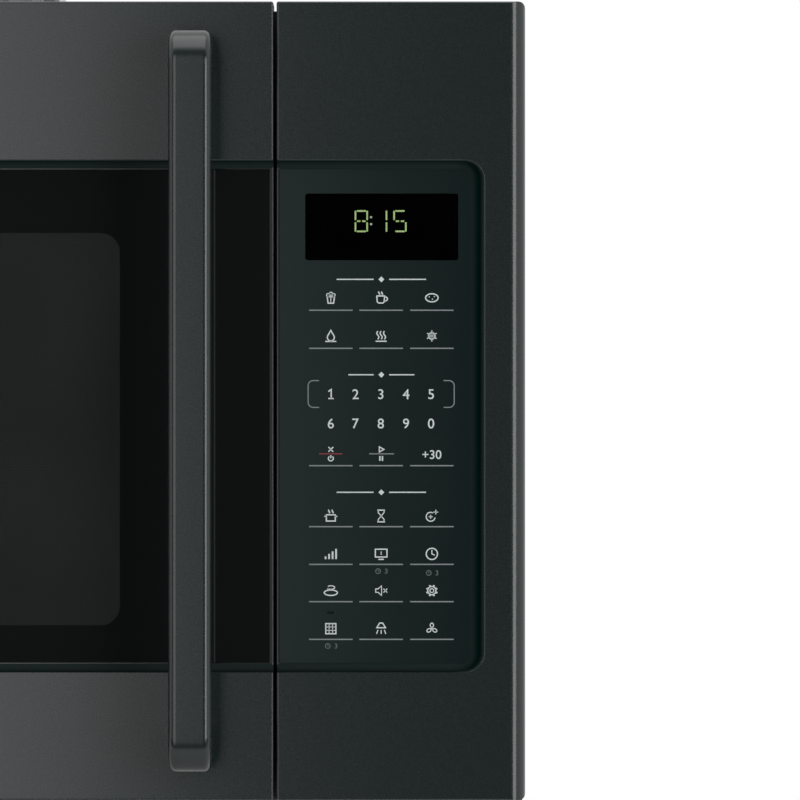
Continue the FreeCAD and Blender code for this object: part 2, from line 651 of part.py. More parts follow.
def outer_wrap():
    """Both sides and the top of the case, bent from one sheet."""
    outer = box((-CASE_X, CASE_X), (CHASSIS_Y, REAR_Y), (0, CASE_HEIGHT))
    outer = rounded(outer, CASE_BEND, lambda b: along_y(b) and near(b.ZMax, CASE_HEIGHT))
    top = CASE_HEIGHT - SHEET
    inner = box((-INSIDE_X, INSIDE_X), (CHASSIS_Y - 1, REAR_Y + 1), (-1, top))
    inner = rounded(inner, CASE_BEND - SHEET, lambda b: along_y(b) and near(b.ZMax, top))
    through = (top - 1, CASE_HEIGHT + 1)
    notch_x = (-CASE_X + GRILLE_END, CASE_X - GRILLE_END)
    notch = box(notch_x, (CHASSIS_Y - 1, CHASSIS_Y + SHEET + GRILLE_DEPTH), through)
    duct = box(around(0, DUCT_WIDTH - 2 * SHEET), grown(DUCT_Y, -SHEET), through)
    holes = [rod("z", (CORD_X, CORD_Y), BUSH_RADIUS, through)]
    for x in around(0, TOP_BOLT_SPACING):
        holes.append(rod("z", (x, TOP_BOLT_Y), TOP_BOLT_RADIUS, through))
    for side in (-1, 1):
        reach = sorted((side * (INSIDE_X - 1), side * (CASE_X + 1)))
        for y in side_screw_places():
            holes.append(rod("x", (y, SCREW_Z), SCREW_RADIUS, reach))
    return cut(outer, inner, notch, duct, *holes)


def back_plate():
    slots = []
    for x in around(0, HOOK_SLOT_SPACING):
        reach = (REAR_Y - SHEET - 1, REAR_Y + 1)
        half = HOOK_SLOT_LENGTH / 2 - HOOK_SLOT_RADIUS
        ends = [rod("y", (x + step, HOOK_SLOT_Z), HOOK_SLOT_RADIUS, reach) for step in (-half, half)]
        slot = box((x - half, x + half), reach, around(HOOK_SLOT_Z, 2 * HOOK_SLOT_RADIUS))
        slots.append(join(slot, *ends))
    vents = []
    for z in spaced(FAN_CENTRE_Z, VENT_SLOTS, VENT_PITCH):
        across = around(SERVICE_MID, VENT_LENGTH)
        vents.append(box(across, (REAR_Y - SHEET - 1, REAR_Y + 1), around(z, VENT_SLOT)))
    return cut(chassis_panel((REAR_Y - SHEET, REAR_Y)), *slots, *vents)


def front_plate():
    reach = (CHASSIS_Y - 1, CHASSIS_Y + SHEET + 1)
    opening = box(CAVITY_X, reach, CAVITY_Z)
    opening = rounded(opening, CAVITY_CORNER, lambda b: along_y(b) and near(b.ZMax, CAVITY_Z[1]))
    wiring = box(around(middle(BOARD_X), WIRING_HOLE), reach, (BOARD_Z[0], BOARD_Z[0] + WIRING_HOLE))
    slots = []
    for z in HOOK_Z:
        rise = (z - HOOK_BARB - LATCH_SPARE, z + HOOK_RISE + LATCH_LIFT + LATCH_SPARE)
        slots.append(box(around(LATCH_X, LATCH_WIDTH + 2 * LATCH_SPARE), reach, rise))
    return cut(chassis_panel((CHASSIS_Y, CHASSIS_Y + SHEET)), opening, wiring, *slots)


def component_shelf():
    """A tray beside the cavity for the heavy parts; its side flanges meet the cavity and the case."""
    y = (CHASSIS_Y + SHEET, CAVITY_Y[1])
    floor = box(SERVICE_X, y, (SHELF_Z - SHEET, SHELF_Z))
    left = box((SERVICE_X[0], SERVICE_X[0] + SHEET), y, (SHELF_Z, SHELF_Z + SHELF_FLANGE))
    right = box((SERVICE_X[1] - SHEET, SERVICE_X[1]), y, (SHELF_Z, SHELF_Z + SHELF_FLANGE))
    return join(floor, left, right)


def exhaust_adaptor():
    """The rectangular collar on the case's top that an exhaust duct slides over."""
    outer_x = around(0, DUCT_WIDTH)
    flange_z, collar_z = (CASE_HEIGHT, CASE_HEIGHT + SHEET), (CASE_HEIGHT, CASE_HEIGHT + DUCT_RISE)
    flange = box(grown(outer_x, DUCT_FLANGE), grown(DUCT_Y, DUCT_FLANGE), flange_z)
    collar = box(outer_x, DUCT_Y, collar_z)
    bore = box(grown(outer_x, -SHEET), grown(DUCT_Y, -SHEET), grown(collar_z, 1))
    pin_hole = rod("x", flap_hinge(), FLAP_PIN + TURNING_FIT, grown(outer_x, 1))
    return cut(join(flange, collar), bore, pin_hole)


def flap_hinge():
    """Y and Z of the damper flap's pins, near the collar's rear wall."""
    return (DUCT_Y[1] - SHEET - FIT - 2 * FLAP_PIN, CASE_HEIGHT + FLAP_LIFT)


def damper_flap():
    hinge_y, hinge_z = flap_hinge()
    x = grown(around(0, DUCT_WIDTH), -SHEET - 2 * FIT)
    plate = box(x, (DUCT_Y[0] + SHEET + 2 * FIT, hinge_y), around(hinge_z, FLAP_THICKNESS))
    pins = rod("x", (hinge_y, hinge_z), FLAP_PIN, around(0, DUCT_WIDTH - FIT))
    return join(plate, pins)


def cord_bush():
    """The bush in the case's top that the mains cord would leave through."""
    top = CASE_HEIGHT + BUSH_FLANGE_THICKNESS
    outline = [
        (CORD_BORE, top - BUSH_LENGTH),
        (BUSH_RADIUS, top - BUSH_LENGTH),
        (BUSH_RADIUS, CASE_HEIGHT),
        (BUSH_FLANGE, CASE_HEIGHT),
        (BUSH_FLANGE, top - 1),
        (BUSH_FLANGE - 1, top),
        (CORD_BORE, top),
    ]
    return turned(outline, (CORD_X, CORD_Y))


def case_screws():
    """Low pan-head screws through the case sides into the base plate's flanges."""
    screws = []
    for side in (-1, 1):
        head = sorted((side * CASE_X, side * (CASE_X + SCREW_HEAD_THICKNESS)))
        shank = sorted((side * CASE_X, side * (CASE_X - SCREW_LENGTH)))
        for y in side_screw_places():
            screws.append(join(
                rod("x", (y, SCREW_Z), SCREW_HEAD, head),
                rod("x", (y, SCREW_Z), SCREW_RADIUS, shank),
            ))
    return Part.makeCompound(screws)


# ---------------------------------------------------------------- oven cavity
def cavity_wrap():
    """Left wall, ceiling and right wall of the cavity, bent from one sheet."""
    outer = box(grown(CAVITY_X, SHEET), CAVITY_Y, (CAVITY_Z[0], CAVITY_TOP))
    outer = rounded(outer, CAVITY_CORNER + SHEET, lambda b: along_y(b) and near(b.ZMax, CAVITY_TOP))
    inner = box(CAVITY_X, grown(CAVITY_Y, 1), (CAVITY_Z[0] - 1, CAVITY_Z[1]))
    inner = rounded(inner, CAVITY_CORNER, lambda b: along_y(b) and near(b.ZMax, CAVITY_Z[1]))
    right = (CAVITY_X[1] - 1, CAVITY_X[1] + SHEET + 1)
    left = (CAVITY_X[0] - SHEET - 1, CAVITY_X[0] + 1)
    port = box(right, around(PORT_CENTRE_Y, PORT_WIDTH), around(GUIDE_CENTRE_Z, PORT_HEIGHT))
    lights = hole_grid("x", (lamp_y(), lamp_z()), LIGHT_HOLE, LIGHT_PITCH, *LIGHT_GRID, right)
    steam = hole_grid("x", (middle(CAVITY_Y), lamp_z()), LIGHT_HOLE, LIGHT_PITCH, *STEAM_GRID, left)
    return cut(outer, inner, port, *lights, *steam)


def lamp_y():
    """Y of the cavity lamp and of the holes it shines through."""
    return CAVITY_Y[0] + LAMP_BACK


def lamp_z():
    return CAVITY_Z[1] - LAMP_DROP


def cavity_floor():
    """The oven's floor, which the rollers run on, with a hole for the turntable's drive."""
    z = (CAVITY_FLOOR - SHEET, CAVITY_FLOOR)
    return cut(box(grown(CAVITY_X, SHEET), CAVITY_Y, z), rod("z", TABLE, FLOOR_HOLE, grown(z, 1)))


def cavity_back():
    y, z = (CAVITY_Y[1], CAVITY_Y[1] + SHEET), (CAVITY_Z[0] - SHEET, CAVITY_TOP)
    back = box(grown(CAVITY_X, SHEET), y, z)
    return rounded(back, CAVITY_CORNER + SHEET, lambda b: along_y(b) and near(b.ZMax, CAVITY_TOP))


def waveguide_cover():
    """The mica sheet over the port where the waveguide feeds the cavity."""
    x = (CAVITY_X[1] - PORT_COVER_THICKNESS, CAVITY_X[1])
    y = grown(around(PORT_CENTRE_Y, PORT_WIDTH), PORT_COVER_LAP)
    z = grown(around(GUIDE_CENTRE_Z, PORT_HEIGHT), PORT_COVER_LAP)
    return rounded(box(x, y, z), PORT_COVER_LAP / 2, along_x)


def cavity_lamp():
    """Bulb holder on the outside of the cavity's right wall, with its bulb facing the light holes."""
    y, z = around(lamp_y(), BULB_BOX), around(lamp_z(), BULB_BOX)
    wall_x, roof_x = SERVICE_X[0], SERVICE_X[0] + BULB_BOX_DEPTH
    tip_x = wall_x + BULB_TIP
    hollow_x = (wall_x - 1, roof_x - BULB_BOX_WALL)
    hollow = box(hollow_x, grown(y, -BULB_BOX_WALL), grown(z, -BULB_BOX_WALL))
    bulb = rod("x", (lamp_y(), lamp_z()), BULB_RADIUS, (tip_x, hollow_x[1]))
    bulb = rounded(bulb, BULB_DOME, lambda b: near(b.XMin, tip_x) and near(b.XMax, tip_x))
    return join(cut(box((wall_x, roof_x), y, z), hollow), bulb)


# ---------------------------------------------------------------- turntable
def turntable_motor():
    top = MOTOR_Z[1]
    body = rod("z", TABLE, MOTOR_RADIUS, MOTOR_Z)
    ear_z = (top - SHEET, top)
    ears = box(around(TABLE[0], 2 * MOTOR_EAR_REACH), around(TABLE[1], MOTOR_EAR_WIDTH), ear_z)
    socket_y = (TABLE[1], TABLE[1] + MOTOR_RADIUS + MOTOR_SOCKET_REACH)
    socket_z = (MOTOR_Z[0], middle(MOTOR_Z) + MOTOR_HEIGHT / 4)
    socket = box(around(TABLE[0], MOTOR_SOCKET_WIDTH), socket_y, socket_z)
    holes = [rod("z", TABLE, SHAFT_RADIUS + TURNING_FIT, (MOTOR_Z[0] + MOTOR_FLOOR, top + 1))]
    for x in around(TABLE[0], 2 * MOTOR_EAR_REACH - MOTOR_EAR_WIDTH):
        holes.append(rod("z", (x, TABLE[1]), MOTOR_EAR_HOLE, grown(ear_z, 1)))
    return cut(join(body, ears, socket), *holes)


def motor_shaft():
    ends = (MOTOR_Z[0] + MOTOR_FLOOR + FIT, COUPLER_Z[0] + COUPLER_SOCKET)
    return rod("z", TABLE, SHAFT_RADIUS, ends)


def tray_coupler():
    """Three-armed driver on the motor's shaft; its arms lie between the nubs under the tray."""
    hub = rod("z", TABLE, COUPLER_HUB, COUPLER_Z)
    arm_z = (COUPLER_Z[1] - COUPLER_ARM_HEIGHT, COUPLER_Z[1])
    arm = box((TABLE[0], TABLE[0] + COUPLER_ARM), around(TABLE[1], COUPLER_ARM_WIDTH), arm_z)
    arms = [turned_about(arm, (*TABLE, 0), angle) for angle in (30, 150, 270)]
    bore = rod("z", TABLE, SHAFT_RADIUS, (COUPLER_Z[0] - 1, COUPLER_Z[0] + COUPLER_SOCKET))
    return cut(join(hub, *arms), bore)


def glass_tray():
    """A dished tray with an upturned rim and three nubs underneath, which the coupler drives."""
    rim_in = TRAY_RADIUS - TRAY_RIM_WIDTH
    flat = ROLLER_OUT + TRAY_FOOT
    top = TRAY_Z + TRAY_THICKNESS
    rim_top = top + TRAY_RIM_RISE
    dish = turned([
        (0, TRAY_Z),
        (flat, TRAY_Z),
        (TRAY_RADIUS - 2, TRAY_Z + TRAY_SWEEP),
        (TRAY_RADIUS, rim_top - 2),
        (TRAY_RADIUS - 1, rim_top),
        (rim_in + 2, rim_top),
        (rim_in - 3, top + TRAY_SWEEP - 1),
        (flat - 2, top),
        (0, top),
    ], TABLE)
    nub_z = (TRAY_Z - DRIVE_NUB_DROP, TRAY_Z + 1)
    nub = rod("z", (TABLE[0] + DRIVE_NUB_PATH, TABLE[1]), DRIVE_NUB, nub_z)
    return join(dish, *[turned_about(nub, (*TABLE, 0), angle) for angle in (90, 210, 330)])


def roller_angles():
    return [90.0 + 360.0 * number / ROLLER_COUNT for number in range(ROLLER_COUNT)]


def roller_ring():
    """The ring that keeps the rollers apart, with an axle for each."""
    hoop = ring("z", TABLE, RING_OUT, RING_OUT - RING_WIDTH, around(AXLE_Z, RING_HEIGHT))
    start, head = TABLE[0] + RING_OUT - RING_WIDTH / 2, TABLE[0] + ROLLER_OUT + FIT
    axle = join(
        rod("x", (TABLE[1], AXLE_Z), AXLE_RADIUS, (start, head + AXLE_HEAD_THICKNESS)),
        rod("x", (TABLE[1], AXLE_Z), AXLE_HEAD, (head, head + AXLE_HEAD_THICKNESS)),
    )
    return join(hoop, *[turned_about(axle, (*TABLE, 0), angle) for angle in roller_angles()])


def roller(angle):
    x = (TABLE[0] + ROLLER_IN, TABLE[0] + ROLLER_OUT)
    wheel = rod("x", (TABLE[1], AXLE_Z), ROLLER_RADIUS, x)
    wheel = rounded(wheel, ROLLER_EDGE, lambda b: b.XLength < TINY)
    wheel = cut(wheel, rod("x", (TABLE[1], AXLE_Z), AXLE_RADIUS + TURNING_FIT, grown(x, 1)))
    return turned_about(wheel, (*TABLE, 0), angle)


# ---------------------------------------------------------------- front: shared shapes
def cove_inset(radius, height):
    """How far the hollow stands in from the band's rim, at a height above the band's floor."""
    rim = math.sqrt(radius ** 2 - (radius - RECESS_DEPTH) ** 2)
    return rim - math.sqrt(radius ** 2 - (radius - height) ** 2)


def recess_outline(closed_x, open_x, height, inset=0.0):
    """The band's outline at a height above its floor: one end straight, the other with round corners."""
    end, side = (cove_inset(radius, height) + inset for radius in (RECESS_END_COVE, RECESS_SIDE_COVE))
    corner = max(RECESS_CORNER - (end + side) / 2, LEAST_CORNER)
    towards = 1 if closed_x > open_x else -1
    y, z = RECESS_Y - height, grown(RECESS_Z, -side)
    bend_x, end_x = closed_x - towards * (end + corner), closed_x - towards * end
    swing = corner * math.sqrt(0.5)
    low = [(bend_x, z[0]), (bend_x + towards * swing, z[0] + corner - swing), (end_x, z[0] + corner)]
    high = [(end_x, z[1] - corner), (bend_x + towards * swing, z[1] - corner + swing), (bend_x, z[1])]
    low, high = ([Vector(across, y, up) for across, up in arc] for arc in (low, high))
    near_end, far_end = Vector(open_x, y, z[0]), Vector(open_x, y, z[1])
    curves = [
        Part.LineSegment(near_end, low[0]),
        Part.Arc(*low),
        Part.LineSegment(low[2], high[0]),
        Part.Arc(*high),
        Part.LineSegment(high[2], far_end),
        Part.LineSegment(far_end, near_end),
    ]
    return Part.Wire([curve.toShape() for curve in curves])


def recess_cutter(closed_x, open_x):
    """The shallow band in the front: a flat floor sweeping up to the rim, more gently at the closed end."""
    heights = [RECESS_DEPTH * (step / RECESS_STEPS) ** 2 for step in range(RECESS_STEPS + 1)]
    hollow = Part.makeLoft([recess_outline(closed_x, open_x, height) for height in heights], True, False)
    mouth = Part.Face(recess_outline(closed_x, open_x, RECESS_DEPTH)).extrude(Vector(0, -1, 0))
    return hollow.fuse(mouth)


def recess_floor(closed_x, open_x, y, inset=0.0):
    """A plate with the outline of the flat part of the recessed band."""
    plate = Part.Face(recess_outline(closed_x, open_x, 0.0, inset)).extrude(Vector(0, y[1] - y[0], 0))
    return plate.translated(Vector(0, y[0] - RECESS_Y, 0))


def with_soft_rim(front, closed_x):
    """Rounds the edge where the recessed band meets the front face."""
    z = grown(RECESS_Z, 0.01)
    beyond = closed_x + (1 if closed_x > 0 else -1)
    return rounded(
        front,
        RECESS_RIM,
        lambda b: near(b.YMin, FRONT_Y) and near(b.YMax, FRONT_Y) and b.ZMin > z[0] and b.ZMax < z[1]
        and abs(b.XMin) < abs(beyond) and abs(b.XMax) < abs(beyond) and b.DiagonalLength > 2 * RECESS_RIM,
    )


def front_block(outer_x, inner_x):
    """The outer form of the door or of the panel: rolled at its outer end, softened at its inner end."""
    x = sorted((outer_x, inner_x))
    y = (FRONT_Y, CHASSIS_Y if outer_x > 0 else DOOR_BACK_Y)
    outline = rounded(box(x, y, FRONT_Z), END_CORNER, lambda b: along_y(b) and near(b.XMin, outer_x))
    outline = rounded(outline, GAP_CORNER, lambda b: along_y(b) and near(b.XMin, inner_x))
    rolled = box(x, y, grown(FRONT_Z, 1))
    at_front = lambda b, end_x: along_z(b) and near(b.XMin, end_x) and near(b.YMin, FRONT_Y)
    rolled = rounded(rolled, EDGE_ROLL, lambda b: at_front(b, outer_x))
    rolled = rounded(rolled, SOFT_EDGE, lambda b: at_front(b, inner_x))
    capped = rounded(box(grown(x, 1), y, FRONT_Z), CAP_EDGE, lambda b: along_x(b) and near(b.YMin, FRONT_Y))
    return outline.common(rolled).common(capped)


def display_cutter(y, inset=0.0):
    cutter = box(grown(DISPLAY_X, -inset), y, grown(DISPLAY_Z, -inset))
    return rounded(cutter, DISPLAY_CORNER, along_y)


# ---------------------------------------------------------------- control panel
def board_hole_places():
    return [(x, z) for x in grown(BOARD_X, -BOARD_HOLE_INSET) for z in grown(BOARD_Z, -BOARD_HOLE_INSET)]


def control_housing():
    inner_x = (PANEL_LEFT + SHELL, RIGHT_X - SHELL)
    band_end = RIGHT_X - RECESS_MARGIN
    block = cut(front_block(RIGHT_X, PANEL_LEFT), recess_cutter(band_end, PANEL_LEFT - 1))
    block = with_soft_rim(block, band_end)
    hollow = box(inner_x, (PANEL_WALL_Y, CHASSIS_Y + 1), grown(FRONT_Z, -SHELL))
    bands = []
    for z in ((FRONT_Z[0] + SHELL, RECESS_Z[0] - SHELL), (RECESS_Z[1] + SHELL, FRONT_Z[1] - SHELL)):
        bands.append(box((inner_x[0], RIGHT_X - EDGE_ROLL), (FRONT_Y + SHELL, PANEL_WALL_Y + 1), z))
    window = display_cutter((FRONT_Y, PANEL_WALL_Y + 1))
    slot_x, slot_z = around(middle(DISPLAY_X), TAIL_WIDTH + 2), around(TAIL_Z, TAIL_THICKNESS + 2)
    tail_slot = box(slot_x, (RECESS_Y - 1, PANEL_WALL_Y + 1), slot_z)
    bosses, threads = [], []
    for place in board_hole_places():
        bosses.append(rod("y", place, BOSS_RADIUS, (PANEL_WALL_Y, BOARD_Y[0])))
        threads.append(rod("y", place, BOARD_SCREW, (PANEL_WALL_Y + 2, BOARD_Y[0] + 1)))
    shell = cut(block, hollow, *bands, window, tail_slot)
    return cut(join(shell, *bosses), *threads)


def touch_overlay():
    """The printed membrane keypad bonded into the recessed band, with its tail to the board."""
    y = (RECESS_Y - OVERLAY_THICKNESS, RECESS_Y)
    sheet = recess_floor(RIGHT_X - RECESS_MARGIN, PANEL_LEFT + OVERLAY_EDGE, y)
    sheet = cut(sheet, display_cutter(grown(y, 1)))
    tail = box(
        around(middle(DISPLAY_X), TAIL_WIDTH), (y[0], BOARD_Y[0]), around(TAIL_Z, TAIL_THICKNESS)
    )
    return join(sheet, tail)


def display_window():
    return display_cutter((RECESS_Y - OVERLAY_THICKNESS, PANEL_WALL_Y), LENS_FIT)


def display_module():
    """The lit display between its window and the circuit board."""
    x, z = grown(DISPLAY_X, -DISPLAY_CASE_INSET), grown(DISPLAY_Z, -DISPLAY_CASE_INSET)
    case = box(x, (PANEL_WALL_Y, BOARD_Y[0]), z)
    y = (PANEL_WALL_Y - 1, PANEL_WALL_Y + DISPLAY_FACE_SINK)
    face = box(grown(x, -DISPLAY_BEZEL), y, grown(z, -DISPLAY_BEZEL))
    return cut(case, face)


def control_board():
    board = box(BOARD_X, BOARD_Y, BOARD_Z)
    holes = [rod("y", place, BOARD_SCREW, grown(BOARD_Y, 1)) for place in board_hole_places()]
    return cut(board, *holes)


def board_components():
    """What stands on the back of the circuit board: transformer, relays, capacitors, sockets and buzzer."""
    y = BOARD_Y[1]
    x0, z0 = BOARD_X[0], BOARD_Z[0]
    supply_x = (x0 + PARTS_INSET, x0 + PARTS_INSET + SUPPLY_WIDTH)
    supply_z = (z0 + PARTS_LIFT, z0 + PARTS_LIFT + SUPPLY_HEIGHT)
    core = box(supply_x, (y, y + SUPPLY_DEPTH), supply_z)
    inset = 2 * SUPPLY_CAP
    cap = box(grown(supply_x, -inset), (y, y + SUPPLY_DEPTH + SUPPLY_CAP), grown(supply_z, -inset))
    buzzer = (x0 + PARTS_INSET + BUZZER_RADIUS, z0 + BUZZER_LIFT)
    pieces = [join(core, cap), rod("y", buzzer, BUZZER_RADIUS, (y, y + BUZZER_DEPTH))]
    for number in range(3):
        relay_x = x0 + RELAY_INSET + number * (RELAY_WIDTH + RELAY_SPACE)
        relay_z = (z0 + RELAY_LIFT, z0 + RELAY_LIFT + RELAY_HEIGHT)
        pieces.append(box((relay_x, relay_x + RELAY_WIDTH), (y, y + RELAY_DEPTH), relay_z))
        smoother = (relay_x + RELAY_WIDTH / 2, z0 + PARTS_LIFT + 2 * SMOOTHER_RADIUS)
        pieces.append(rod("y", smoother, SMOOTHER_RADIUS, (y, y + SMOOTHER_DEPTH)))
        socket_x = x0 + PARTS_INSET + number * (SOCKET_WIDTH + SOCKET_SPACE)
        socket_z = (z0 + SOCKET_LIFT, z0 + SOCKET_LIFT + SOCKET_HEIGHT)
        pieces.append(box((socket_x, socket_x + SOCKET_WIDTH), (y, y + SOCKET_DEPTH), socket_z))
    for place in board_hole_places():
        pieces.append(rod("y", place, 2 * BOARD_SCREW, (y, y + BOARD_SCREW_HEAD)))
    return Part.makeCompound(pieces)


# ---------------------------------------------------------------- door
def hinge_heights():
    """Middle of each hinge plate, with the direction its pin points: down at the top, up at the bottom."""
    return [(FRONT_Z[1] - HINGE_END, -1), (FRONT_Z[0] + HINGE_END, 1)]


def hinge_pin_reach(z, towards):
    """From the far face of the hinge plate to the pin's end inside the door."""
    return sorted((z - towards * HINGE_PLATE / 2, z + towards * HINGE_PIN_LENGTH))


def door_frame():
    block = front_block(LEFT_X, DOOR_RIGHT)
    block = rounded(
        block, HINGE_INSET, lambda b: along_z(b) and near(b.XMin, LEFT_X) and near(b.YMax, DOOR_BACK_Y)
    )
    band_end = LEFT_X + RECESS_MARGIN
    block = with_soft_rim(cut(block, recess_cutter(band_end, DOOR_RIGHT + 1)), band_end)
    ledge_back = GLASS_Y[1] + LEDGE_THICKNESS
    glass_x = DOOR_RIGHT - GLASS_EDGE
    seat = recess_floor(band_end, glass_x, (RECESS_Y - 2, GLASS_Y[1]))
    window = recess_floor(band_end, glass_x - GLASS_LEDGE, (RECESS_Y, ledge_back + 1), GLASS_LEDGE)
    hollow = box((LEFT_X + STILE, DOOR_RIGHT - SHELL), (ledge_back, DOOR_BACK_Y + 1), grown(FRONT_Z, -SHELL))
    bands = []
    for z in ((FRONT_Z[0] + SHELL, RECESS_Z[0] - SHELL), (RECESS_Z[1] + SHELL, FRONT_Z[1] - SHELL)):
        bands.append(box((LEFT_X + STILE, DOOR_RIGHT - SHELL), (FRONT_Y + SHELL, ledge_back + 1), z))
    stile = box(
        (LEFT_X + SHELL, LEFT_X + STILE + 1),
        (ledge_back, DOOR_BACK_Y - HINGE_INSET - SHELL),
        grown(FRONT_Z, -HINGE_BLOCK),
    )
    cutters = [seat, window, hollow, *bands, stile]
    for z, towards in hinge_heights():
        height = around(z, HINGE_PLATE + 2 * HINGE_SLOT_SPARE)
        cutters.append(rod("z", (HINGE_X, HINGE_Y), HINGE_SLOT_RADIUS, height))
        pin = hinge_pin_reach(z, towards)
        cutters.append(rod("z", (HINGE_X, HINGE_Y), HINGE_PIN + TURNING_FIT, grown(pin, FIT)))
    for z in handle_screw_heights():
        reach = (FRONT_Y - 1, FRONT_Y + SHELL + 1)
        cutters.append(rod("y", (HANDLE_X, z), HANDLE_SCREW + HANDLE_SCREW_SPARE, reach))
    return join(cut(block, *cutters), spring_peg(), *latch_guides())


def door_glass():
    return recess_floor(LEFT_X + RECESS_MARGIN, DOOR_RIGHT - GLASS_EDGE - FIT, GLASS_Y, FIT)


def choke_outline():
    return grown(CAVITY_X, CHOKE_WIDTH), grown(CAVITY_Z, CHOKE_WIDTH)


def door_choke():
    """The pressed steel pan behind the glass: a channel round the opening keeps the microwaves in."""
    outer_x, outer_z = choke_outline()
    inner_x, inner_z = grown(CAVITY_X, 2), grown(CAVITY_Z, 2)
    pan = box(outer_x, CHOKE_Y, outer_z)
    channel = cut(
        box(grown(outer_x, -SHEET), (CHOKE_Y[0] + SHEET, CHOKE_Y[1] + 1), grown(outer_z, -SHEET)),
        box(inner_x, (CHOKE_Y[0] - 1, CHOKE_Y[1] + 2), inner_z),
    )
    front_hollow = box(grown(inner_x, -SHEET), (CHOKE_Y[0] - 1, CHOKE_Y[1] - SHEET), grown(inner_z, -SHEET))
    window = box(WINDOW_X, grown(CHOKE_Y, 1), WINDOW_Z)
    return cut(pan, channel, front_hollow, window)


def door_screen():
    """The perforated sheet that you look through; its fine holes are left out of the solid."""
    y = (CHOKE_Y[1] - SHEET - SCREEN_THICKNESS, CHOKE_Y[1] - SHEET)
    return box(grown(WINDOW_X, SCREEN_LAP), y, grown(WINDOW_Z, SCREEN_LAP))


def door_film():
    """The clear sheet over the cavity side of the screen."""
    y = (CHOKE_Y[1], CHOKE_Y[1] + FILM_THICKNESS)
    return box(grown(CAVITY_X, -COVER_LAP - FIT), y, grown(CAVITY_Z, -COVER_LAP - FIT))


def choke_cover():
    outer_x, outer_z = choke_outline()
    cover = box(grown(outer_x, COVER_LIP), CHOKE_COVER_Y, grown(outer_z, COVER_LIP))
    cover = rounded(cover, COVER_CORNER, along_y)
    return cut(cover, box(grown(CAVITY_X, -COVER_LAP), grown(CHOKE_COVER_Y, 1), grown(CAVITY_Z, -COVER_LAP)))


def handle_screw_heights():
    return [HANDLE_Z[0] + HANDLE_POST / 2, HANDLE_Z[1] - HANDLE_POST / 2]


def door_handle():
    """An upright bar whose two ends turn back to the door."""
    x = around(HANDLE_X, HANDLE_WIDTH)
    outer = box(x, (HANDLE_Y, FRONT_Y), HANDLE_Z)
    outer = rounded(outer, HANDLE_BEND, lambda b: along_x(b) and near(b.YMin, HANDLE_Y))
    inner = box(grown(x, 1), (HANDLE_Y + HANDLE_BAR, FRONT_Y + 1), grown(HANDLE_Z, -HANDLE_POST))
    inner = rounded(inner, HANDLE_BEND / 2, lambda b: along_x(b) and near(b.YMin, HANDLE_Y + HANDLE_BAR))

    def outer_edge(b):
        on_a_side = (near(b.XMin, x[0]) or near(b.XMin, x[1])) and b.XLength < TINY
        return on_a_side and not (near(b.YMin, FRONT_Y) and near(b.YMax, FRONT_Y))

    handle = rounded(cut(outer, inner), HANDLE_EDGE, outer_edge)
    threads = [
        rod("y", (HANDLE_X, z), HANDLE_SCREW, (FRONT_Y - HANDLE_SCREW_LENGTH + SHELL, FRONT_Y + 1))
        for z in handle_screw_heights()
    ]
    return cut(handle, *threads)


def handle_screws():
    screws = []
    inside = FRONT_Y + SHELL
    for z in handle_screw_heights():
        shank = rod("y", (HANDLE_X, z), HANDLE_SCREW, (inside - HANDLE_SCREW_LENGTH, inside))
        head = rod("y", (HANDLE_X, z), 2 * HANDLE_SCREW, (inside, inside + HANDLE_SCREW_HEAD))
        screws.append(join(shank, head))
    return Part.makeCompound(screws)


# ---------------------------------------------------------------- hinges
def hinge_brackets():
    """Two flat plates that reach into slots in the door, each turned up against the front plate."""
    brackets = []
    for z, towards in hinge_heights():
        height = around(z, HINGE_PLATE)
        x = (HINGE_X - HINGE_OUT, HINGE_X + HINGE_IN)
        front_y = HINGE_Y - HINGE_FRONT
        plate = box(x, (front_y, CHASSIS_Y), height)
        plate = rounded(plate, HINGE_ROUND, lambda b: along_z(b) and near(b.YMin, front_y))
        flange_z = sorted((z - towards * HINGE_PLATE / 2, z + towards * HINGE_FLANGE))
        flange = box(x, (CHASSIS_Y - HINGE_PLATE / 2, CHASSIS_Y), flange_z)
        hole = rod("z", (HINGE_X, HINGE_Y), HINGE_PIN, grown(height, 1))
        brackets.append(cut(join(plate, flange), hole))
    return Part.makeCompound(brackets)


def hinge_pins():
    pins = []
    for z, towards in hinge_heights():
        pins.append(rod("z", (HINGE_X, HINGE_Y), HINGE_PIN, hinge_pin_reach(z, towards)))
    return Part.makeCompound(pins)


# ---------------------------------------------------------------- latch and interlock
def door_latch():
    """The sprung bar in the door with two hooks that drop behind the catches."""
    x = around(LATCH_X, LATCH_WIDTH)
    bar = box(x, LATCH_BAR_Y, around(LATCH_Z, LATCH_HEIGHT))
    hooks = []
    nose_y = HOOK_TIP_Y - HOOK_NOSE
    for z in HOOK_Z:
        outline = [
            (LATCH_BAR_Y[0], z),
            (nose_y, z),
            (nose_y, z - HOOK_BARB),
            (nose_y + BARB_LENGTH, z - HOOK_BARB),
            (HOOK_TIP_Y, z + HOOK_TIP_RISE),
            (HOOK_TIP_Y, z + HOOK_RISE),
            (LATCH_BAR_Y[0], z + HOOK_RISE),
        ]
        hooks.append(prism([(x[0], *point) for point in outline], (LATCH_WIDTH, 0, 0)))
    return join(bar, *hooks)


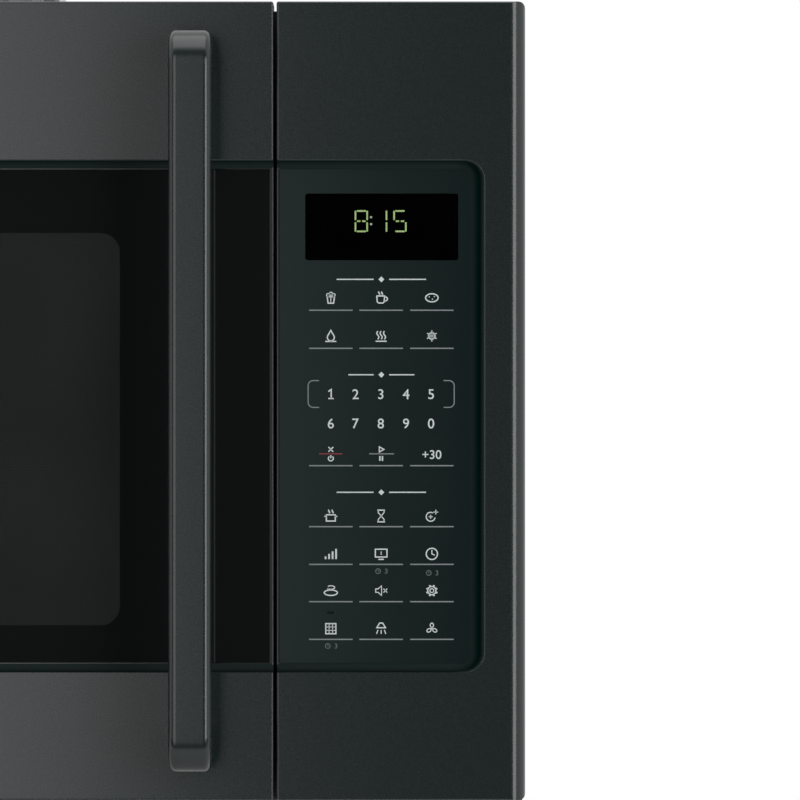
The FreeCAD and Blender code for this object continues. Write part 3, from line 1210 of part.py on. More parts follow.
def latch_spring():
    """The coil that pushes the latch bar down, from the bar's top to a peg in the door."""
    base = Vector(LATCH_X, middle(LATCH_BAR_Y), LATCH_TOP + SPRING_WIRE)
    rise = SPRING_LENGTH - 2 * SPRING_WIRE
    helix = Part.makeHelix(rise / SPRING_TURNS, rise, SPRING_RADIUS)
    helix.translate(base)
    start = helix.Edges[0].valueAt(helix.Edges[0].FirstParameter)
    heading = helix.Edges[0].tangentAt(helix.Edges[0].FirstParameter)
    section = Part.Wire(Part.makeCircle(SPRING_WIRE, start, heading))
    coil = Part.Wire(helix.Edges).makePipeShell([section], True, True)
    print("latch spring: gap between turns", round(rise / SPRING_TURNS - 2 * SPRING_WIRE, 2), "mm")
    return coil


def spring_peg():
    """The shelf in the door that the latch spring pushes against."""
    z = LATCH_TOP + SPRING_LENGTH
    return box((LATCH_X - LATCH_WIDTH / 2, DOOR_RIGHT - SHELL), LATCH_BAR_Y, (z, z + GUIDE_SHELF))


def latch_guides():
    """Two slotted blocks on the door's side wall that the latch bar slides in."""
    guides = []
    x = around(LATCH_X, LATCH_WIDTH)
    for z in around(LATCH_Z, LATCH_GUIDE_SPACING):
        block_x = (x[0] - FIT - GUIDE_WALL, DOOR_RIGHT - SHELL)
        block = box(block_x, grown(LATCH_BAR_Y, FIT + GUIDE_WALL), around(z, GUIDE_BLOCK))
        slot = box(grown(x, FIT), grown(LATCH_BAR_Y, FIT), around(z, GUIDE_BLOCK + 2))
        guides.append(cut(block, slot))
    return guides


def hook_pocket(z):
    """Inside width and height that a hook needs behind the front plate."""
    x = around(LATCH_X, LATCH_WIDTH + 2 * LATCH_SPARE)
    rise = (z - HOOK_BARB - LATCH_SPARE, z + HOOK_RISE + LATCH_LIFT + LATCH_SPARE)
    return x, rise


def interlock_bracket():
    """Two pockets behind the front plate that the hooks enter, each with a catch, on one upright spine."""
    y = (CHASSIS_Y + SHEET, HOOK_TIP_Y + BRACKET_END)
    pieces, pockets, catches = [], [], []
    for z in HOOK_Z:
        x, rise = hook_pocket(z)
        pieces.append(box(grown(x, BRACKET_WALL), y, grown(rise, BRACKET_WALL)))
        pockets.append(box(x, (y[0] - 1, y[1] - BRACKET_WALL), rise))
        catch_y = (y[0] + BRACKET_WALL, HOOK_TIP_Y - HOOK_NOSE - LATCH_SPARE)
        catches.append(box(x, catch_y, (rise[0] - 1, z - CATCH_DROP)))
    spine_x = (hook_pocket(0)[0][1], hook_pocket(0)[0][1] + BRACKET_WALL)
    spine = box(spine_x, y, (HOOK_Z[0] - SPINE_DOWN, HOOK_Z[1] + SPINE_UP))
    return join(cut(join(spine, *pieces), *pockets), *catches)


def interlock_switches():
    """Three small switches on the side of the interlock bracket."""
    x = (hook_pocket(0)[0][1] + BRACKET_WALL, hook_pocket(0)[0][1] + BRACKET_WALL + SWITCH_THICKNESS)
    y = (CHASSIS_Y + SHEET + SWITCH_GAP, CHASSIS_Y + SHEET + SWITCH_GAP + SWITCH_DEPTH)
    switches = []
    for z0 in [HOOK_Z[0] - drop for drop in SWITCH_DROPS] + [HOOK_Z[1] + SWITCH_RISE]:
        z = (z0, z0 + SWITCH_HEIGHT)
        tab_x = around(middle(x), SWITCH_TAB_THICKNESS)
        tabs = []
        for tab_z in grown(z, -SWITCH_TAB_INSET - SWITCH_TAB_WIDTH / 2):
            tabs.append(box(tab_x, (y[1], y[1] + SWITCH_TAB), around(tab_z, SWITCH_TAB_WIDTH)))
        switches.append(join(box(x, y, z), *tabs))
    return Part.makeCompound(switches)


# ---------------------------------------------------------------- microwave parts
def waveguide():
    outer = box(GUIDE_X, GUIDE_Y, GUIDE_Z)
    inner = box((GUIDE_X[0] - 1, GUIDE_X[1] - SHEET), grown(GUIDE_Y, -SHEET), grown(GUIDE_Z, -SHEET))
    flange_x = (GUIDE_X[0], GUIDE_X[0] + SHEET)
    flange = cut(
        box(flange_x, grown(GUIDE_Y, GUIDE_FLANGE), grown(GUIDE_Z, GUIDE_FLANGE)),
        box(grown(flange_x, 1), grown(GUIDE_Y, -SHEET), grown(GUIDE_Z, -SHEET)),
    )
    antenna = (ANTENNA_Y, GUIDE_CENTRE_Z)
    hole = rod("x", antenna, ANTENNA_RADIUS + ANTENNA_GAP, (GUIDE_X[1] - 2 * SHEET, GUIDE_X[1] + 1))
    return join(cut(outer, inner, hole), flange)


def magnetron():
    x0 = GUIDE_X[1]
    y, z = around(ANTENNA_Y, MAGNETRON_DEPTH), around(GUIDE_CENTRE_Z, MAGNETRON_HEIGHT)
    x = (x0, x0 + MAGNETRON_WIDTH)
    centre = (ANTENNA_Y, GUIDE_CENTRE_Z)
    inside = box(grown(x, -MAGNETRON_PLATE), grown(y, 1), grown(z, -MAGNETRON_PLATE))
    pieces = [rod("x", centre, MAGNETRON_ANODE, x)]
    pitch = MAGNETRON_WIDTH / (MAGNETRON_FINS + 2)
    for number in range(MAGNETRON_FINS):
        fin = x0 + (number + 1.5) * pitch
        pieces.append(box((fin, fin + FIN_THICKNESS), grown(y, -FIN_INSET), z))
    pieces.append(rod("x", centre, ANTENNA_RADIUS, (x0 - ANTENNA_REACH, x0 + MAGNETRON_PLATE)))
    terminals_y, terminals_z = grown(y, -FILTER_BOX_INSET_Y), grown(z, -FILTER_BOX_INSET_Z)
    pieces.append(box((x[1], x[1] + FILTER_BOX_WIDTH), terminals_y, terminals_z))
    return join(cut(box(x, y, z), inside), *pieces)


def hv_transformer():
    x = around(SERVICE_MID, TRANSFORMER_WIDTH)
    y = around(TRANSFORMER_CENTRE_Y, TRANSFORMER_DEPTH)
    z = (SHELF_Z, SHELF_Z + TRANSFORMER_HEIGHT)
    core = box(x, grown(y, -TRANSFORMER_CORE_INSET), z)
    coil = box(grown(x, -TRANSFORMER_COIL_INSET_X), y, grown(z, -TRANSFORMER_COIL_INSET_Z))
    coil = rounded(coil, TRANSFORMER_COIL_CORNER, along_x)
    foot_z = (SHELF_Z, SHELF_Z + TRANSFORMER_FOOT_THICKNESS)
    foot = box(grown(x, TRANSFORMER_FOOT), grown(y, -TRANSFORMER_FOOT), foot_z)
    return join(core, coil, foot)


def hv_capacitor():
    top = SHELF_Z + CAPACITOR_HEIGHT
    can = box(CAPACITOR_X, around(CAPACITOR_CENTRE_Y, CAPACITOR_DEPTH), (SHELF_Z, top))
    can = rounded(can, CAPACITOR_DEPTH / 2 - FIT, along_z)
    posts = []
    for x in around(middle(CAPACITOR_X), CAPACITOR_POST_SPACING):
        post = (x, CAPACITOR_CENTRE_Y)
        posts.append(rod("z", post, CAPACITOR_POST, (top - 1, top + CAPACITOR_POST_HEIGHT)))
    return join(can, *posts)


def hv_diode():
    """Lies on the shelf beside the capacitor."""
    x = CAPACITOR_X[1] + DIODE_GAP
    centre = (CAPACITOR_CENTRE_Y, SHELF_Z + DIODE_RADIUS)
    return rod("x", centre, DIODE_RADIUS, (x, x + DIODE_LENGTH))


def fan_shroud():
    """The bulkhead on the shelf with a round mouth for the cooling fan, and two arms for its motor."""
    mouth = FAN_RADIUS + FAN_TIP_GAP
    centre = (SERVICE_MID, FAN_CENTRE_Z)
    tube_y = (FAN_Y, FAN_Y + FAN_DEPTH)
    wall_z = (SHELF_Z, FAN_CENTRE_Z + FAN_RADIUS + SHROUD_TOP)
    wall = box(grown(SERVICE_X, -SHROUD_MARGIN), (FAN_Y, FAN_Y + SHROUD_WALL), wall_z)
    tube = rod("y", centre, mouth + SHROUD_WALL, tube_y)
    shroud = cut(join(wall, tube), rod("y", centre, mouth, grown(tube_y, 1)))
    arm_y = (tube_y[1], tube_y[1] + SHROUD_ARM)
    arm_z = around(FAN_CENTRE_Z, SHROUD_ARM_WIDTH)
    arm = box(around(SERVICE_MID, 2 * (mouth + SHROUD_WALL)), arm_y, arm_z)
    return join(shroud, cut(arm, rod("y", centre, FAN_MOTOR_RADIUS, grown(arm_y, 1))))


def cooling_motor():
    y = (FAN_Y + FAN_DEPTH, FAN_Y + FAN_DEPTH + FAN_MOTOR_DEPTH)
    centre = (SERVICE_MID, FAN_CENTRE_Z)
    body = rod("y", centre, FAN_MOTOR_RADIUS, y)
    return cut(body, rod("y", centre, FAN_SHAFT + TURNING_FIT, (y[0] - 1, y[1] - FAN_MOTOR_WALL)))


def cooling_blade():
    """A five-bladed axial fan on its shaft."""
    centre = (SERVICE_MID, FAN_CENTRE_Z)
    y = grown((FAN_Y, FAN_Y + FAN_DEPTH), -FAN_HUB_INSET)
    shaft_end = FAN_Y + FAN_DEPTH + FAN_MOTOR_DEPTH - FAN_MOTOR_WALL - FIT
    pieces = [rod("y", centre, FAN_HUB, y), rod("y", centre, FAN_SHAFT, (y[0], shaft_end))]
    x = (SERVICE_MID + FAN_HUB - FAN_BLADE_ROOT, SERVICE_MID + FAN_RADIUS + 1)
    z = around(FAN_CENTRE_Z, FAN_BLADE_WIDTH)
    blade = box(x, around(middle(y), FAN_BLADE_THICKNESS), z)
    blade = turned_about(blade, (SERVICE_MID, middle(y), FAN_CENTRE_Z), FAN_BLADE_PITCH, (1, 0, 0))
    blade = blade.common(rod("y", centre, FAN_RADIUS, (FAN_Y, FAN_Y + FAN_DEPTH)))
    for number in range(FAN_BLADES):
        angle = 360 * number / FAN_BLADES
        pieces.append(turned_about(blade, (SERVICE_MID, 0, FAN_CENTRE_Z), angle, (0, 1, 0)))
    return join(*pieces)


# ---------------------------------------------------------------- ventilation
def vent_grille():
    """The slotted strip in the case's top, behind the door, where filtered air leaves."""
    x = (-CASE_X + GRILLE_END + FIT, CASE_X - GRILLE_END - FIT)
    y = (CHASSIS_Y + SHEET, CHASSIS_Y + SHEET + GRILLE_DEPTH - FIT)
    strip = box(x, y, (CASE_HEIGHT - GRILLE_THICKNESS, CASE_HEIGHT))
    pitch = GRILLE_SLOT + GRILLE_BAR
    count = int((x[1] - x[0] - 2 * GRILLE_RIM + GRILLE_BAR) / pitch)
    start = -(count - 1) * pitch / 2
    through = (CASE_HEIGHT - GRILLE_THICKNESS - 1, CASE_HEIGHT + 1)
    slots = []
    for number in range(count):
        slot_x = around(start + pitch * number, GRILLE_SLOT)
        slots.append(box(slot_x, grown(y, -GRILLE_RIM), through))
    return cut(strip, *slots)


def charcoal_filter():
    """An upright cartridge behind the grille: a frame with its granule bed."""
    y0 = CHASSIS_Y + SHEET + GRILLE_DEPTH + CHARCOAL_GAP
    x, y = around(0, CHARCOAL_WIDTH), (y0, y0 + CHARCOAL_THICKNESS)
    z = (CAVITY_TOP, CASE_HEIGHT - SHEET - FIT)
    rim = frame(x, y, z, CHARCOAL_RIM)
    bed = box(grown(x, -CHARCOAL_RIM), grown(y, -CHARCOAL_SINK), grown(z, -CHARCOAL_RIM))
    return Part.makeCompound([rim, bed])


def grease_filter(x):
    """A removable filter: rim, mesh pad and a pull ring lying flat under it."""
    rim = cut(
        box(x, FILTER_Y, FILTER_Z),
        box(grown(x, -FILTER_RIM), grown(FILTER_Y, -FILTER_RIM), grown(FILTER_Z, 1)),
    )
    pad_z = (FILTER_Z[0] + FILTER_PAD_RISE, FILTER_Z[1] - FILTER_PAD_DROP)
    pad = box(grown(x, -FILTER_RIM), grown(FILTER_Y, -FILTER_RIM), pad_z)
    centre = (middle(x), FILTER_Y[0] + FILTER_RIM + FILTER_RING)
    pull_z = (FILTER_Z[0] + FILTER_RING_RISE, pad_z[0])
    pull = ring("z", centre, FILTER_RING, FILTER_RING - FILTER_RING_WIDTH, pull_z)
    return Part.makeCompound([join(rim, pad), pull])


def blower_housing():
    """Two scroll boxes either side of the motor, each open upwards into the exhaust outlet."""
    centre = (BLOWER_Y, BLOWER_Z)
    top = CASE_HEIGHT - SHEET

    def scroll(x, radius, end):
        round_part = rod("x", centre, radius, x)
        return join(round_part, box(x, around(BLOWER_Y, 2 * radius), (BLOWER_Z, end)))

    scrolls = []
    for x in (SCROLL_X, mirrored(SCROLL_X)):
        inner = scroll(grown(x, -SHEET), SCROLL_RADIUS - SHEET, top + 1)
        inlet = rod("x", centre, SCROLL_INLET, grown(x, 1))
        foot = box(x, around(BLOWER_Y, SCROLL_RADIUS), (CAVITY_TOP, CAVITY_TOP + SCROLL_GAP + FOOT_RISE))
        scrolls.append(cut(join(scroll(x, SCROLL_RADIUS, top), foot), inner, inlet))
    return Part.makeCompound(scrolls)


def blower_motor():
    half = SCROLL_X[0] - BLOWER_MOTOR_END_GAP
    radius = SCROLL_RADIUS - BLOWER_MOTOR_GAP
    body = rod("x", (BLOWER_Y, BLOWER_Z), radius, (-half, half))
    foot = box(grown((-half, half), -BLOWER_FOOT_INSET), around(BLOWER_Y, radius), (CAVITY_TOP, BLOWER_Z))
    shaft = rod("x", (BLOWER_Y, BLOWER_Z), BLOWER_SHAFT + TURNING_FIT, (-half - 1, half + 1))
    return cut(join(body, foot), shaft)


def blower_wheels():
    """Two squirrel-cage wheels on one shaft."""
    centre = (BLOWER_Y, BLOWER_Z)
    reach = (SCROLL_X[0] + SHEET + WHEEL_END_GAP, SCROLL_X[1] - SHEET - WHEEL_END_GAP)
    pieces = [rod("x", centre, BLOWER_SHAFT, (-reach[1], reach[1]))]
    inner_r = WHEEL_RADIUS - WHEEL_BLADE
    for x in (reach, mirrored(reach)):
        pieces.append(rod("x", centre, inner_r + WHEEL_DISC_SPARE, around(middle(x), WHEEL_HUB_RING)))
        for end in ((x[0], x[0] + WHEEL_HUB_RING), (x[1] - WHEEL_HUB_RING, x[1])):
            pieces.append(ring("x", centre, WHEEL_RADIUS, inner_r, end))
        blade_z = grown((BLOWER_Z + inner_r, BLOWER_Z + WHEEL_RADIUS), -WHEEL_BLADE_LAP)
        blade = box(x, around(BLOWER_Y, WHEEL_BLADE_THICKNESS), blade_z)
        for number in range(WHEEL_BLADES):
            pieces.append(turned_about(blade, (0, *centre), 360 * number / WHEEL_BLADES, (1, 0, 0)))
    return join(*pieces)


# ---------------------------------------------------------------- cooktop lights
def lamp_housing():
    """An upturned tray over the opening in the base; its ends hold the cover's pins."""
    x, y = grown(LAMP_X, LAMP_FIT + LAMP_BOX_WALL), grown(LAMP_Y, LAMP_FIT + LAMP_BOX_WALL)
    outer = box(x, y, (SHEET, LAMP_BOX_HEIGHT))
    inner = box(grown(LAMP_X, LAMP_FIT), grown(LAMP_Y, LAMP_FIT), (0, LAMP_BOX_HEIGHT - SHEET))
    pins = rod("x", LAMP_HINGE, LAMP_PIN + TURNING_FIT, grown(LAMP_X, LAMP_PIN_LENGTH + FIT))
    return cut(outer, inner, pins)


def cooktop_lamps():
    """Two lamp modules under the roof of the lamp housing."""
    y, top = middle(LAMP_Y), LAMP_BOX_HEIGHT - SHEET
    base = top - LAMP_BODY_HEIGHT
    lamps = []
    for x in around(0, LAMP_SPACING):
        body = box(around(x, LAMP_BODY_WIDTH), around(y, LAMP_BODY_DEPTH), (base, top))
        dome = Part.makeSphere(LAMP_DOME, Vector(x, y, base))
        below = box(around(x, 4 * LAMP_DOME), around(y, 4 * LAMP_DOME), (base - 2 * LAMP_DOME, top))
        lamps.append(join(body, dome.common(below)))
    return Part.makeCompound(lamps)


def lamp_cover():
    """The hinged glass that is let down to reach the lamps; its pins stand on a lug at each end."""
    glass = rounded(box(LAMP_X, LAMP_Y, LAMP_Z), LAMP_GLASS_CORNER, along_z)
    pins = rod("x", LAMP_HINGE, LAMP_PIN, grown(LAMP_X, LAMP_PIN_LENGTH))
    between = box(grown(LAMP_X, -LAMP_LUG), LAMP_Y, (LAMP_Z[1], LAMP_HINGE[1] + LAMP_PIN + 1))
    lugs = [
        box((x, x + LAMP_LUG), around(LAMP_HINGE[0], LAMP_LUG), (LAMP_Z[0], LAMP_HINGE[1] + LAMP_PIN + 0.5))
        for x in (LAMP_X[0], LAMP_X[1] - LAMP_LUG)
    ]
    return join(glass, cut(pins, between), *lugs)


# ---------------------------------------------------------------- all pieces
def all_parts():
    left_filter, right_filter = filter_spans()
    rear, left, right = roller_angles()
    return {
        "base_plate": base_plate(),
        "outer_wrap": outer_wrap(),
        "back_plate": back_plate(),
        "front_plate": front_plate(),
        "component_shelf": component_shelf(),
        "exhaust_adaptor": exhaust_adaptor(),
        "damper_flap": damper_flap(),
        "cord_bush": cord_bush(),
        "case_screws": case_screws(),
        "cavity_wrap": cavity_wrap(),
        "cavity_floor": cavity_floor(),
        "cavity_back": cavity_back(),
        "waveguide_cover": waveguide_cover(),
        "cavity_lamp": cavity_lamp(),
        "turntable_motor": turntable_motor(),
        "motor_shaft": motor_shaft(),
        "tray_coupler": tray_coupler(),
        "glass_tray": glass_tray(),
        "roller_ring": roller_ring(),
        "roller_rear": roller(rear),
        "roller_left": roller(left),
        "roller_right": roller(right),
        "control_housing": control_housing(),
        "touch_overlay": touch_overlay(),
        "display_window": display_window(),
        "display_module": display_module(),
        "control_board": control_board(),
        "board_components": board_components(),
        "door_frame": door_frame(),
        "door_glass": door_glass(),
        "door_choke": door_choke(),
        "door_screen": door_screen(),
        "door_film": door_film(),
        "choke_cover": choke_cover(),
        "door_handle": door_handle(),
        "handle_screws": handle_screws(),
        "hinge_brackets": hinge_brackets(),
        "hinge_pins": hinge_pins(),
        "door_latch": door_latch(),
        "latch_spring": latch_spring(),
        "interlock_bracket": interlock_bracket(),
        "interlock_switches": interlock_switches(),
        "waveguide": waveguide(),
        "magnetron": magnetron(),
        "hv_transformer": hv_transformer(),
        "hv_capacitor": hv_capacitor(),
        "hv_diode": hv_diode(),
        "fan_shroud": fan_shroud(),
        "cooling_motor": cooling_motor(),
        "cooling_blade": cooling_blade(),
        "vent_grille": vent_grille(),
        "charcoal_filter": charcoal_filter(),
        "grease_filter_left": grease_filter(left_filter),
        "grease_filter_right": grease_filter(right_filter),
        "blower_housing": blower_housing(),
        "blower_motor": blower_motor(),
        "blower_wheels": blower_wheels(),
        "lamp_housing": lamp_housing(),
        "cooktop_lamps": cooktop_lamps(),
        "lamp_cover": lamp_cover(),
    }


os.makedirs("parts", exist_ok=True)
for name, shape in all_parts().items():
    Part.makeCompound(shape.Solids).exportStep(os.path.join("parts", name + ".step"))
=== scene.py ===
import json
import math
from itertools import product

import bmesh
import bpy
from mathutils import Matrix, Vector


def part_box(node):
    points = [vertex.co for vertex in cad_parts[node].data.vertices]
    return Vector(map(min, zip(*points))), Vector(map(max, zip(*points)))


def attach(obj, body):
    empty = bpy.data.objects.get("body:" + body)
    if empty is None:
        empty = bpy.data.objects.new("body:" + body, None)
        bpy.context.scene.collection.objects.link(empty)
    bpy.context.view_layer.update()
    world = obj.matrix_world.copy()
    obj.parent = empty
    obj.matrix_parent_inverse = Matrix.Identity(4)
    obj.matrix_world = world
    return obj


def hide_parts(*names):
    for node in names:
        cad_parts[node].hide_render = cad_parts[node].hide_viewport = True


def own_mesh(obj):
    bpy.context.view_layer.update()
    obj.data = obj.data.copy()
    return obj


# Looks for an over-the-range microwave oven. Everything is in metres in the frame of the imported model:
# +X to the right of someone who faces the oven, +Y towards the wall, +Z up. Sizes typed in millimetres
# are multiplied by MM where they are used.
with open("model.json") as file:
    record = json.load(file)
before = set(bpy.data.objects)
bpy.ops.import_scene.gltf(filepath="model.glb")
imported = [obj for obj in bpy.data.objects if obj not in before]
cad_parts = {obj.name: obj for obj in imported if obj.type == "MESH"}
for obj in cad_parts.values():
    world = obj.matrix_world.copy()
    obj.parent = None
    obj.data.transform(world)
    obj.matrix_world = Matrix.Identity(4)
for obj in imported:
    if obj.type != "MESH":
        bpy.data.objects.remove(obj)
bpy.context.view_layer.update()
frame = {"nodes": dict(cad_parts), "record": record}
NODES = frame["nodes"]
MM = 0.001


# ---------------------------------------------------------------- materials
class Look:
    """A procedural material: a base shader whose colour, roughness and relief come from layers of texture."""

    def __init__(self, name, roughness=0.5, metallic=0.0, specular=0.5):
        self.material = bpy.data.materials.new(name)
        self.material.use_nodes = True
        tree = self.material.node_tree
        self.nodes, self.links = tree.nodes, tree.links
        self.shader = self.nodes["Principled BSDF"]
        self.set(Roughness=roughness, Metallic=metallic)
        self.shader.inputs["Specular IOR Level"].default_value = specular
        self.place = self.nodes.new("ShaderNodeTexCoord").outputs["Object"]
        self.relief = None

    def set(self, **values):
        for name, value in values.items():
            self.shader.inputs[name.replace("_", " ")].default_value = value
        return self

    def node(self, kind, inputs=(), **settings):
        made = self.nodes.new(kind)
        for name, value in settings.items():
            setattr(made, name, value)
        for name, value in dict(inputs).items():
            if isinstance(value, bpy.types.NodeSocket):
                self.links.new(value, made.inputs[name])
            else:
                made.inputs[name].default_value = value
        return made

    def stretched(self, stretch):
        """Object coordinates multiplied per axis, so that a texture can run along a direction."""
        return self.node("ShaderNodeMapping", {"Vector": self.place, "Scale": stretch}).outputs["Vector"]

    def noise(self, size_mm, detail=2.0, stretch=(1, 1, 1), roughness=0.5):
        """Soft noise whose blotches are about size_mm across."""
        inputs = {"Vector": self.stretched(stretch), "Scale": 1 / (size_mm * MM), "Detail": detail,
                  "Roughness": roughness}
        return self.node("ShaderNodeTexNoise", inputs).outputs["Fac"]

    def cells(self, size_mm, output="Distance", randomness=1.0):
        """A pattern of cells about size_mm across."""
        inputs = {"Vector": self.place, "Scale": 1 / (size_mm * MM), "Randomness": randomness}
        return self.node("ShaderNodeTexVoronoi", inputs, feature="F1").outputs[output]

    def cell_value(self, size_mm):
        """One value from 0 to 1 for each cell."""
        return self.node("ShaderNodeSeparateColor", {"Color": self.cells(size_mm, "Color")}).outputs[0]

    def axes(self):
        """Object coordinates as separate outputs X, Y and Z."""
        return self.node("ShaderNodeSeparateXYZ", {"Vector": self.place}).outputs

    def math(self, operation, *values):
        made = self.node("ShaderNodeMath", dict(enumerate(values)), operation=operation)
        return made.outputs[0]

    def between(self, factor, low, high, start=0.0, end=1.0):
        """low to high as factor goes from start to end."""
        made = self.node("ShaderNodeMapRange", {"Value": factor, "From Min": start, "From Max": end,
                                                "To Min": low, "To Max": high})
        return made.outputs["Result"]

    def ramp(self, factor, *stops):
        """A colour ramp through (position, colour) stops."""
        made = self.node("ShaderNodeValToRGB", {"Fac": factor})
        elements = made.color_ramp.elements
        while len(elements) < len(stops):
            elements.new(0.5)
        for element, (position, colour) in zip(elements, stops):
            element.position = position
            element.color = (*colour, 1)
        return made.outputs["Color"]

    def mixed(self, factor, first, second):
        made = self.node("ShaderNodeMix", {"Factor": factor}, data_type="RGBA")
        for name, value in (("A", first), ("B", second)):
            socket = [i for i in made.inputs if i.name == name and i.type == "RGBA"][0]
            if isinstance(value, bpy.types.NodeSocket):
                self.links.new(value, socket)
            else:
                socket.default_value = (*value, 1)
        return [o for o in made.outputs if o.type == "RGBA"][0]

    def feed(self, name, socket):
        """Lets a texture drive one of the shader's inputs."""
        self.links.new(socket, self.shader.inputs[name])
        return self

    def colour(self, socket):
        return self.feed("Base Color", socket)

    def rough(self, socket):
        return self.feed("Roughness", socket)

    def raised(self, factor, depth_mm):
        """Adds relief: factor 0 to 1 stands for depth_mm of height."""
        inputs = {"Height": factor, "Distance": depth_mm * MM, "Strength": 1.0}
        if self.relief:
            inputs["Normal"] = self.relief
        self.relief = self.node("ShaderNodeBump", inputs).outputs["Normal"]
        return self.feed("Normal", self.relief)

    def holes(self, pitch_mm, radius_mm, axes="XZ"):
        """1 on a staggered grid of round dots in the plane of two axes, 0 between them."""
        parts = self.axes()
        step = {axes[0]: pitch_mm * MM, axes[1]: pitch_mm * MM * math.sqrt(3)}
        found = None
        for shift in (0.0, 0.5):
            square = None
            for name in axes:
                turns = self.math("ADD", self.math("DIVIDE", parts[name], step[name]), shift)
                off = self.math("MULTIPLY", self.math("SUBTRACT", self.math("FRACT", turns), 0.5), step[name])
                power = self.math("MULTIPLY", off, off)
                square = power if square is None else self.math("ADD", square, power)
            dot = self.math("LESS_THAN", square, (radius_mm * MM) ** 2)
            found = dot if found is None else self.math("MAXIMUM", found, dot)
        return found


def painted(name, dark, light, roughness, relief_mm=0.01, grain_mm=0.8):
    """Paint or powder coat: a fine fleck in the colour and a slight orange peel."""
    look = Look(name)
    look.colour(look.ramp(look.noise(grain_mm, 3.0), (0.3, dark), (0.7, light)))
    look.rough(look.between(look.noise(grain_mm * 2.5), roughness - 0.03, roughness + 0.03))
    return look.raised(look.noise(1.6, 1.0), relief_mm)


def moulded(name, dark, light, roughness, specular=0.5):
    """Moulded plastic with a fine spark-eroded texture and a faint unevenness."""
    look = Look(name, specular=specular)
    look.colour(look.ramp(look.noise(14.0, 3.0), (0.35, dark), (0.65, light)))
    look.rough(look.between(look.noise(4.0), roughness - 0.05, roughness + 0.05))
    look.raised(look.noise(0.5, 2.0), 0.012)
    return look.raised(look.noise(30.0, 0.0), 0.12)


def metal(name, dark, light, roughness, stretch=(1, 1, 1)):
    """Bare metal with a drawn or ground grain along the axis whose stretch is small."""
    look = Look(name, metallic=1.0)
    grain_mm = 0.25
    grain = look.noise(grain_mm, 3.0, stretch)
    look.colour(look.ramp(grain, (0.3, dark), (0.7, light)))
    look.rough(look.between(look.noise(grain_mm * 3, 2.0, stretch), roughness - 0.06, roughness + 0.08))
    return look.raised(grain, 0.004)


def grey(value):
    return (value, value, value)


SLATE = (0.0101, 0.0154, 0.0153)
SLATE_ROUGHNESS = 0.22


def slate_metal():
    dark, light = (tuple(c * part for c in SLATE) for part in (0.96, 1.05))
    return painted("slate_metal", dark, light, SLATE_ROUGHNESS, relief_mm=0.002)


# Painted shade and painted rim highlight of the hollow round the recessed band: tones by depth, from the
# band's floor (0) to the front's face (1). Beside the overlay the painted shade is darkest in the middle of
# the curve, and above it nearer the rim, with a painted highlight on the rim in both places. Below it the rim
# isn't light.
SIDE_SHADE_AND_HIGHLIGHT_TONES = (
    (0.0, (0.0100, 0.0155, 0.0150)), (0.06, (0.0080, 0.0140, 0.0134)), (0.12, (0.0051, 0.0118, 0.0108)),
    (0.22, (0.0021, 0.0090, 0.0073)), (0.36, (0.0006, 0.0065, 0.0050)), (0.52, (0.0030, 0.0080, 0.0075)),
    (0.78, (0.0160, 0.0250, 0.0240)), (1.0, (0.0300, 0.0420, 0.0405)),
)
TOP_SHADE_AND_HIGHLIGHT_TONES = (
    (0.0, (0.0128, 0.0192, 0.0186)), (0.11, (0.0123, 0.0188, 0.0182)), (0.28, (0.0098, 0.0158, 0.0151)),
    (0.47, (0.0086, 0.0144, 0.0136)), (0.62, (0.0056, 0.0108, 0.0100)), (0.85, (0.0150, 0.0225, 0.0215)),
    (0.94, (0.0400, 0.0510, 0.0500)), (1.0, (0.0400, 0.0500, 0.0490)),
)
FOOT_SHADE_TONES = (
    (0.0, (0.0128, 0.0192, 0.0186)), (0.11, (0.0127, 0.0188, 0.0182)), (0.28, (0.0112, 0.0164, 0.0159)),
    (0.47, (0.0092, 0.0136, 0.0130)), (0.62, (0.0072, 0.0112, 0.0106)), (0.80, (0.0054, 0.0084, 0.0080)),
    (0.94, (0.0060, 0.0090, 0.0088)), (1.0, (0.0115, 0.0160, 0.0158)),
)
OVERLAY_THICKNESS = 0.3
FLOOR_MARGIN = 0.05            # either side of the floor's depth
BLEND_INSIDE = 8.0             # the side's tones begin this far inside the overlay's end
BLEND_OUTSIDE = 3.0            # and are full this far outside it
STRIP_LAP = 0.5                # glossy strip of floor under the overlay's left edge
HOLLOW_ROUGHNESS = 0.75


